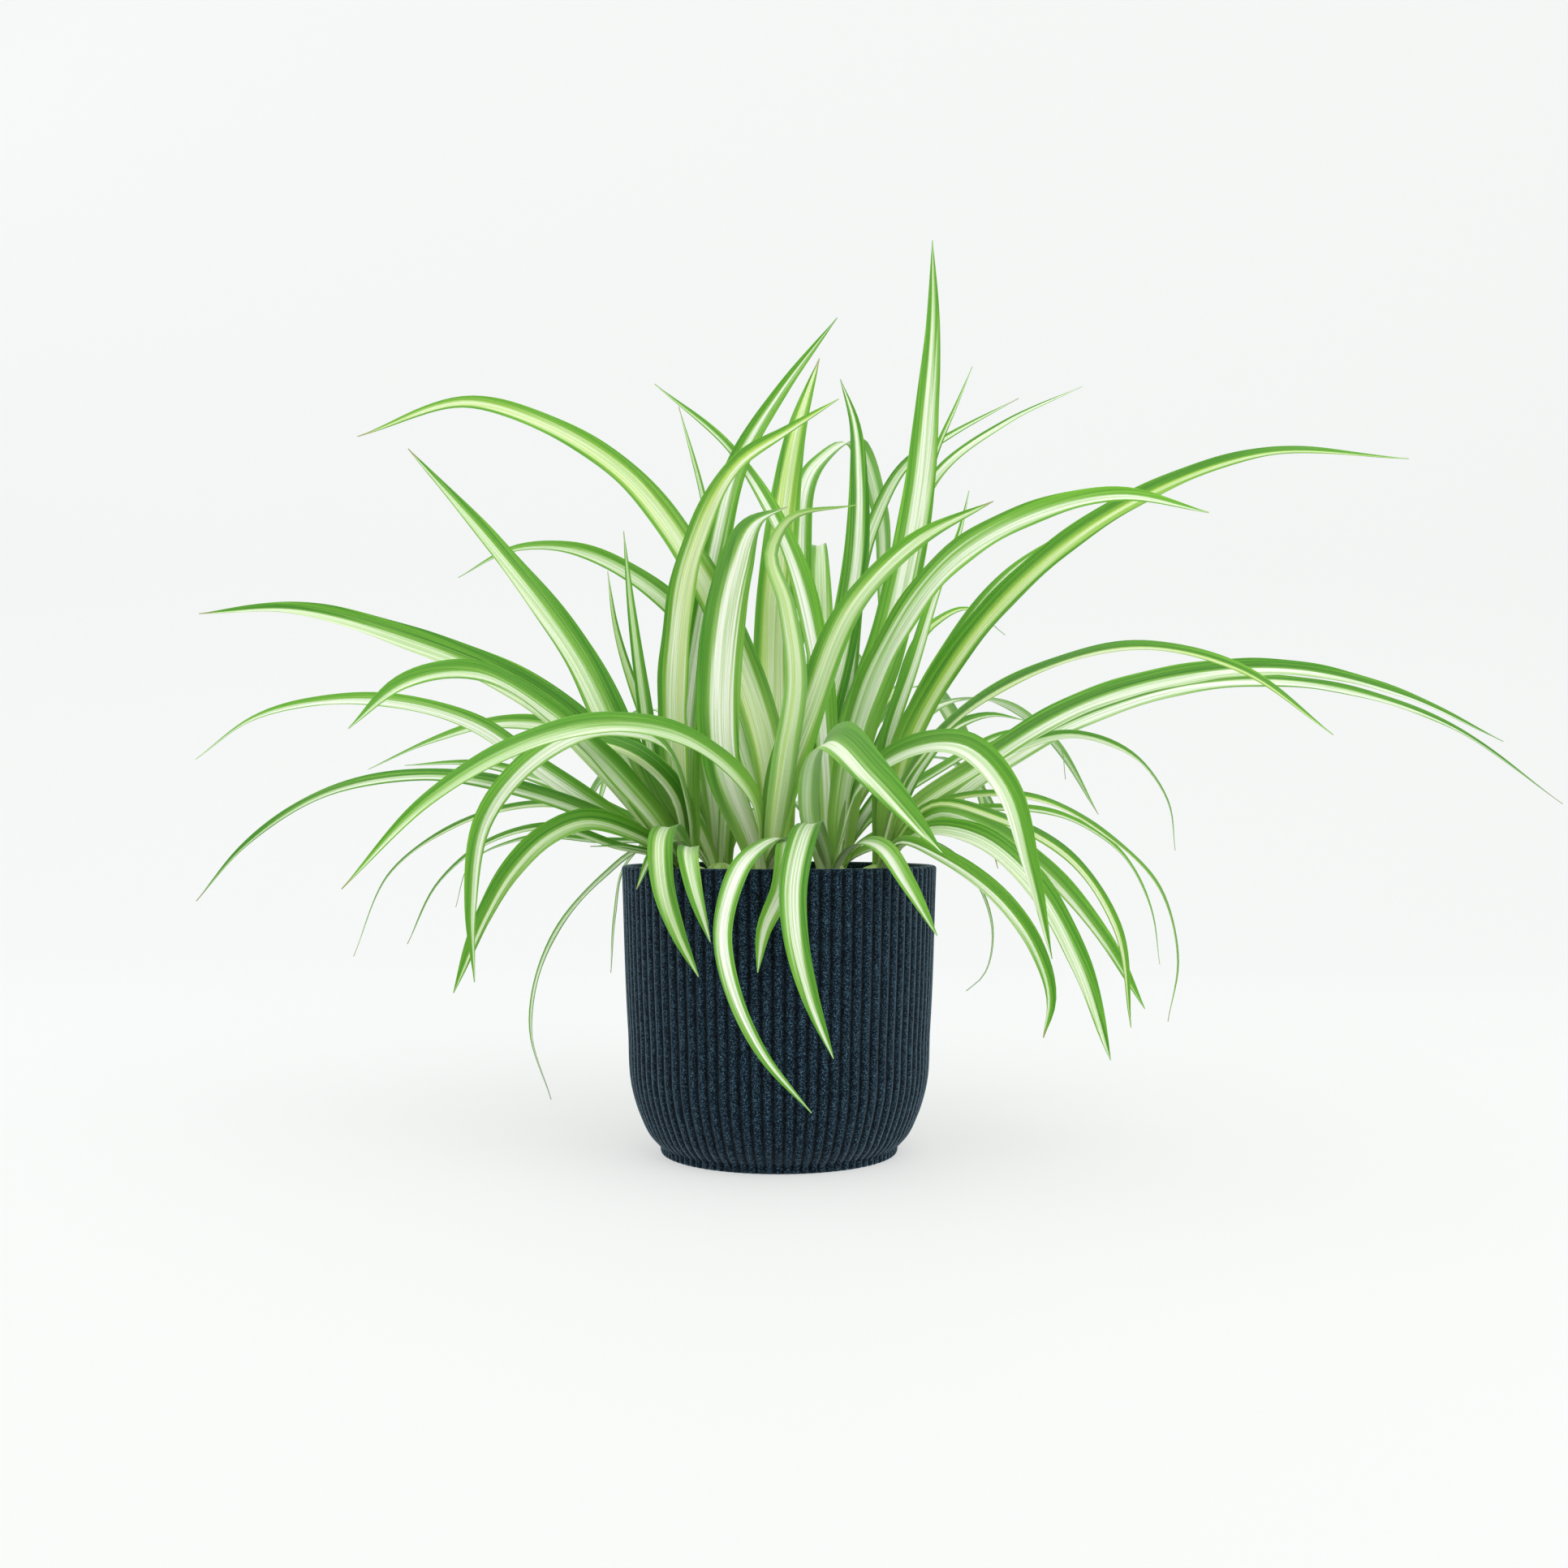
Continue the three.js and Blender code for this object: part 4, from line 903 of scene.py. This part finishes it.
def pot_material(grain_tree):
    """Matt dark navy plastic with a fine grain of paler specks. Shade is painted into the grooves: the colour
    goes nearly black at their bottoms, and the specks are painted fainter there, so that they show most on
    the ribs."""
    material, n, shader = new_material("matt navy plastic")
    grained = grain(n, grain_tree, 0.36)
    ridge = n.add("ShaderNodeAttribute", attribute_name="ridge").outputs["Fac"]
    # Painted shade: the navy darkens to nearly black towards the bottom of each groove.
    navy_with_groove_shade = n.blend(n.step(ridge, 0.0, 0.9), linear(0, 3, 7), linear(8, 22, 34))
    patches = n.math("MULTIPLY", n.step(grained["Patches"], 0.4, 0.7), 0.15)
    mottled_with_groove_shade = n.blend(patches, navy_with_groove_shade, linear(20, 42, 56))
    specks = n.step(grained["Grains"], 0.6, 1.0)
    # Painted shade: the specks fade in the grooves and show fully only on the ribs.
    specks_with_groove_shade = n.math("MULTIPLY", specks, n.math("MULTIPLY_ADD", ridge, 0.44, 0.05))
    n.fill(shader, {
        "Base Color": n.blend(specks_with_groove_shade, mottled_with_groove_shade, linear(104, 142, 164)),
        "Roughness": 0.62,
        "Specular IOR Level": 0.05,
        "Sheen Weight": 0.55,
        "Sheen Roughness": 0.3,
        "Sheen Tint": (0.62, 0.84, 1.0, 1.0),
    })
    bump = n.add("ShaderNodeBump", {"Height": grained["Grains"], "Distance": 0.0003, "Strength": 0.4})
    n.put(shader.inputs["Normal"], bump.outputs[0])
    return material


def soil_material(grain_tree):
    """Dark crumbly potting soil with a few paler fibres."""
    material, n, shader = new_material("potting soil")
    grained = grain(n, grain_tree, 2.2)
    dark = n.blend(n.step(grained["Specks"], 0.35, 0.7), linear(26, 18, 13), linear(70, 50, 36))
    fibres = n.step(grained["Patches"], 0.56, 0.72)
    n.fill(shader, {"Base Color": n.blend(fibres, dark, linear(96, 74, 54)), "Roughness": 0.95})
    bump = n.add("ShaderNodeBump", {"Height": grained["Specks"], "Distance": 0.0012, "Strength": 0.9})
    n.put(shader.inputs["Normal"], bump.outputs[0])
    return material


def leaf_material():
    """A striped leaf. Green margins run beside a cream stripe, which lies nearer the lower edge on a leaf
    that leans over. One edge of the stripe is sharp and the other breaks up into streaks. Fine streaks and
    veins run the whole length. The root is pale lime, partly its own colour and partly painted light that
    lifts the shade among the crowded bases. The underside is greyer and paler, partly its own colour and
    partly painted light that lifts its shade."""
    material, n, shader = new_material("striped leaf")
    blade_uv = n.split(n.add("ShaderNodeUVMap", uv_map="blade").outputs[0])
    size_uv = n.split(n.add("ShaderNodeUVMap", uv_map="size").outputs[0])
    tone = n.add("ShaderNodeAttribute", attribute_name="tone").outputs["Fac"]
    under = n.add("ShaderNodeAttribute", attribute_name="under").outputs["Fac"]
    u, v = blade_uv["X"], blade_uv["Y"]
    x, y = size_uv["X"], size_uv["Y"]
    own = n.math("MULTIPLY", tone, 173.0)
    chances = [n.math("FRACT", n.math("MULTIPLY", tone, k)) for k in (7.3, 13.7, 25.1, 41.9, 67.7, 117.1)]
    stripe_size, green_tone, dry_chance, warm_chance, lean, pale = chances

    def lengthwise(across, along, detail):
        """Noise drawn out along the blade, spread to run from 0 to 1. Its sizes are per millimetre."""
        at = n.join(n.math("MULTIPLY", x, across), n.math("MULTIPLY", y, along), own)
        return n.step(n.noise(at, 1.0, detail, 0.6), 0.34, 0.66)

    broad, streaks, fine = lengthwise(0.3, 0.004, 2), lengthwise(0.55, 0.006, 3), lengthwise(1.2, 0.01, 2)
    wander = n.noise(n.join(own, n.math("MULTIPLY", v, 1.6)), 1.0, 1)
    stripe = n.add("ShaderNodeAttribute", attribute_name="stripe").outputs["Fac"]
    shift = n.math("SUBTRACT", n.math("MULTIPLY_ADD", u, 2.0, -1.0), stripe)
    shift = n.math("ADD", shift, n.math("MULTIPLY_ADD", wander, 0.4, -0.2))
    side = n.step(shift, -0.06, 0.06)
    soft = n.math("MULTIPLY_ADD", lean, 0.44, 0.05)
    soft = n.math("MULTIPLY_ADD", side, n.math("MULTIPLY_ADD", soft, -2.0, 0.54), soft)
    width = n.math("MULTIPLY_ADD", stripe_size, 0.3, 0.26)
    width = n.math("MULTIPLY", width, n.math("MULTIPLY_ADD", n.step(v, 0.6, 1.0), -0.35, 1.0))
    inside = n.math("SUBTRACT", width, n.math("ABSOLUTE", shift))
    inside = n.math("MULTIPLY_ADD", n.math("MULTIPLY_ADD", streaks, 1.0, -0.5), soft, inside)
    lime = n.step(inside, n.math("MULTIPLY_ADD", soft, -1.1, -0.12), n.math("MULTIPLY", soft, 0.3))
    cream = n.step(inside, n.math("MULTIPLY", soft, -0.5), n.math("MULTIPLY_ADD", soft, 0.4, 0.04))
    green = n.blend(green_tone, linear(50, 120, 10), linear(94, 158, 34))
    green = n.blend(n.math("MULTIPLY", fine, 0.6), green, linear(126, 184, 58))
    green = n.blend(n.math("MULTIPLY", broad, 0.5), green, linear(42, 108, 8))
    colour = n.blend(n.math("MULTIPLY", lime, 0.7), green, linear(154, 196, 98))
    white = n.blend(pale, linear(247, 250, 243), linear(220, 236, 202))
    colour = n.blend(n.math("MULTIPLY", cream, 0.94), colour, white)
    inner = n.math("MULTIPLY", n.step(fine, 0.2, 0.9), n.math("MULTIPLY", cream, 0.55))
    colour = n.blend(inner, colour, linear(146, 188, 106))
    warm = n.math("MULTIPLY", n.step(warm_chance, 0.6, 1.0), n.math("MULTIPLY", lime, 0.6))
    warm = n.math("MULTIPLY", warm, n.math("SUBTRACT", 1.0, n.math("MULTIPLY", streaks, 0.8)))
    colour = n.blend(warm, colour, linear(186, 212, 52))
    # Pale lime towards the root: partly the bases' own colour, partly painted light that lifts the shade
    # among the crowded bases.
    colour = n.blend(n.math("MULTIPLY", n.step(v, 0.34, 0.0), 0.5), colour, linear(190, 222, 120))
    # Greyer and paler on the underside: partly its own colour, partly painted light that lifts the shade on
    # the lower faces.
    colour = n.blend(n.math("MULTIPLY", under, 0.3), colour, linear(166, 198, 140))
    dry = n.math("MULTIPLY", n.step(v, 0.965, 0.995), n.step(dry_chance, 0.6, 0.7))
    colour = n.blend(n.math("MULTIPLY", dry, 0.8), colour, linear(150, 132, 92))
    n.fill(shader, {
        "Base Color": colour,
        "Roughness": n.math("MULTIPLY_ADD", under, 0.12, 0.42),
        "Specular IOR Level": 0.3,
        "Subsurface Weight": 0.3,
        "Subsurface Radius": (0.6, 1.0, 0.3),
        "Subsurface Scale": 0.0015,
        "Sheen Weight": 0.2,
        "Sheen Roughness": 0.4,
    })
    veins = n.math("SINE", n.math("MULTIPLY", x, 7.5))
    relief = n.math("ADD", n.math("MULTIPLY", veins, 0.3), n.math("MULTIPLY", streaks, 0.5))
    bump = n.add("ShaderNodeBump", {"Height": relief, "Distance": 0.00022, "Strength": 0.5})
    n.put(shader.inputs["Normal"], bump.outputs[0])
    return material


def plain_material(name, colour, roughness):
    """A finish of one colour."""
    material, n, shader = new_material(name)
    n.fill(shader, {"Base Color": colour, "Roughness": roughness})
    return material


def make_stage():
    """A pale floor that curves up behind the plant into a plain backdrop."""
    turn = np.linspace(0, np.pi / 2, 16)
    back, bend, top, wide = 900.0, 500.0, 4600.0, 6000.0
    y = np.concatenate([[-1800], back + bend * np.sin(turn), [back + bend]])
    z = np.concatenate([[0], bend * (1 - np.cos(turn)), [top]])
    points = np.vstack([np.column_stack([np.full(len(y), x), y, z]) for x in (-wide, wide)])
    k = np.arange(len(y) - 1)
    faces = np.column_stack([k, k + len(y), k + len(y) + 1, k + 1])
    paint = plain_material("pale floor", linear(153, 156, 155), 0.8)
    glow = paint.node_tree.nodes["Principled BSDF"].inputs
    glow["Emission Color"].default_value = (1, 1, 1, 1)
    glow["Emission Strength"].default_value = FLOOR_GLOW
    floor = made_mesh("floor", points, faces, paint)


def make_camera():
    """The camera stands where the tables' viewer stands."""
    data = bpy.data.cameras.new("camera")
    data.lens, data.sensor_width = LENS, SENSOR
    camera = bpy.data.objects.new("camera", data)
    camera.location = (CAMERA_SIDE, -VIEW_DISTANCE * MM, VIEW_HEIGHT * MM)
    camera.rotation_euler = (np.pi / 2 + CAMERA_TILT, 0, 0)
    bpy.context.scene.collection.objects.link(camera)
    bpy.context.scene.camera = camera


def area_light(name, place, aim, size, power, colour):
    """A square soft light that looks at a point."""
    data = bpy.data.lights.new(name, "AREA")
    data.size, data.energy, data.color = size, power, colour
    light = bpy.data.objects.new(name, data)
    light.location = place
    direction = np.array(aim) - np.array(place)
    light.rotation_euler = (
        np.arctan2(np.hypot(direction[0], direction[1]), -direction[2]), 0,
        np.arctan2(direction[1], direction[0]) - np.pi / 2,
    )
    bpy.context.scene.collection.objects.link(light)


def make_lights():
    """A pale even sky, a broad soft light from above and in front, and one from behind on the left."""
    world = bpy.data.worlds.new("pale room")
    world.use_nodes = True
    sky = world.node_tree.nodes["Background"]
    sky.inputs["Color"].default_value = (1, 1, 0.985, 1)
    sky.inputs["Strength"].default_value = 1.0
    bpy.context.scene.world = world
    area_light("window", (0.7, -1.3, 1.9), (0, 0, 0.2), 1.8, 19.5, (1, 0.99, 0.97))
    area_light("back", (-1.3, 0.6, 1.5), (0, 0, 0.2), 1.4, 4, (0.97, 0.99, 1))
    bpy.context.scene.view_settings.view_transform = "Standard"


for obj in [o for o in bpy.data.objects if o.type in ("CAMERA", "LIGHT") or o.name == "Cube"]:
    bpy.data.objects.remove(obj)
make_camera()
make_stage()
make_lights()
shared_grain = grain_group()
make_pot(pot_material(shared_grain))
make_soil(soil_material(shared_grain))
make_rosettes(leaf_material())
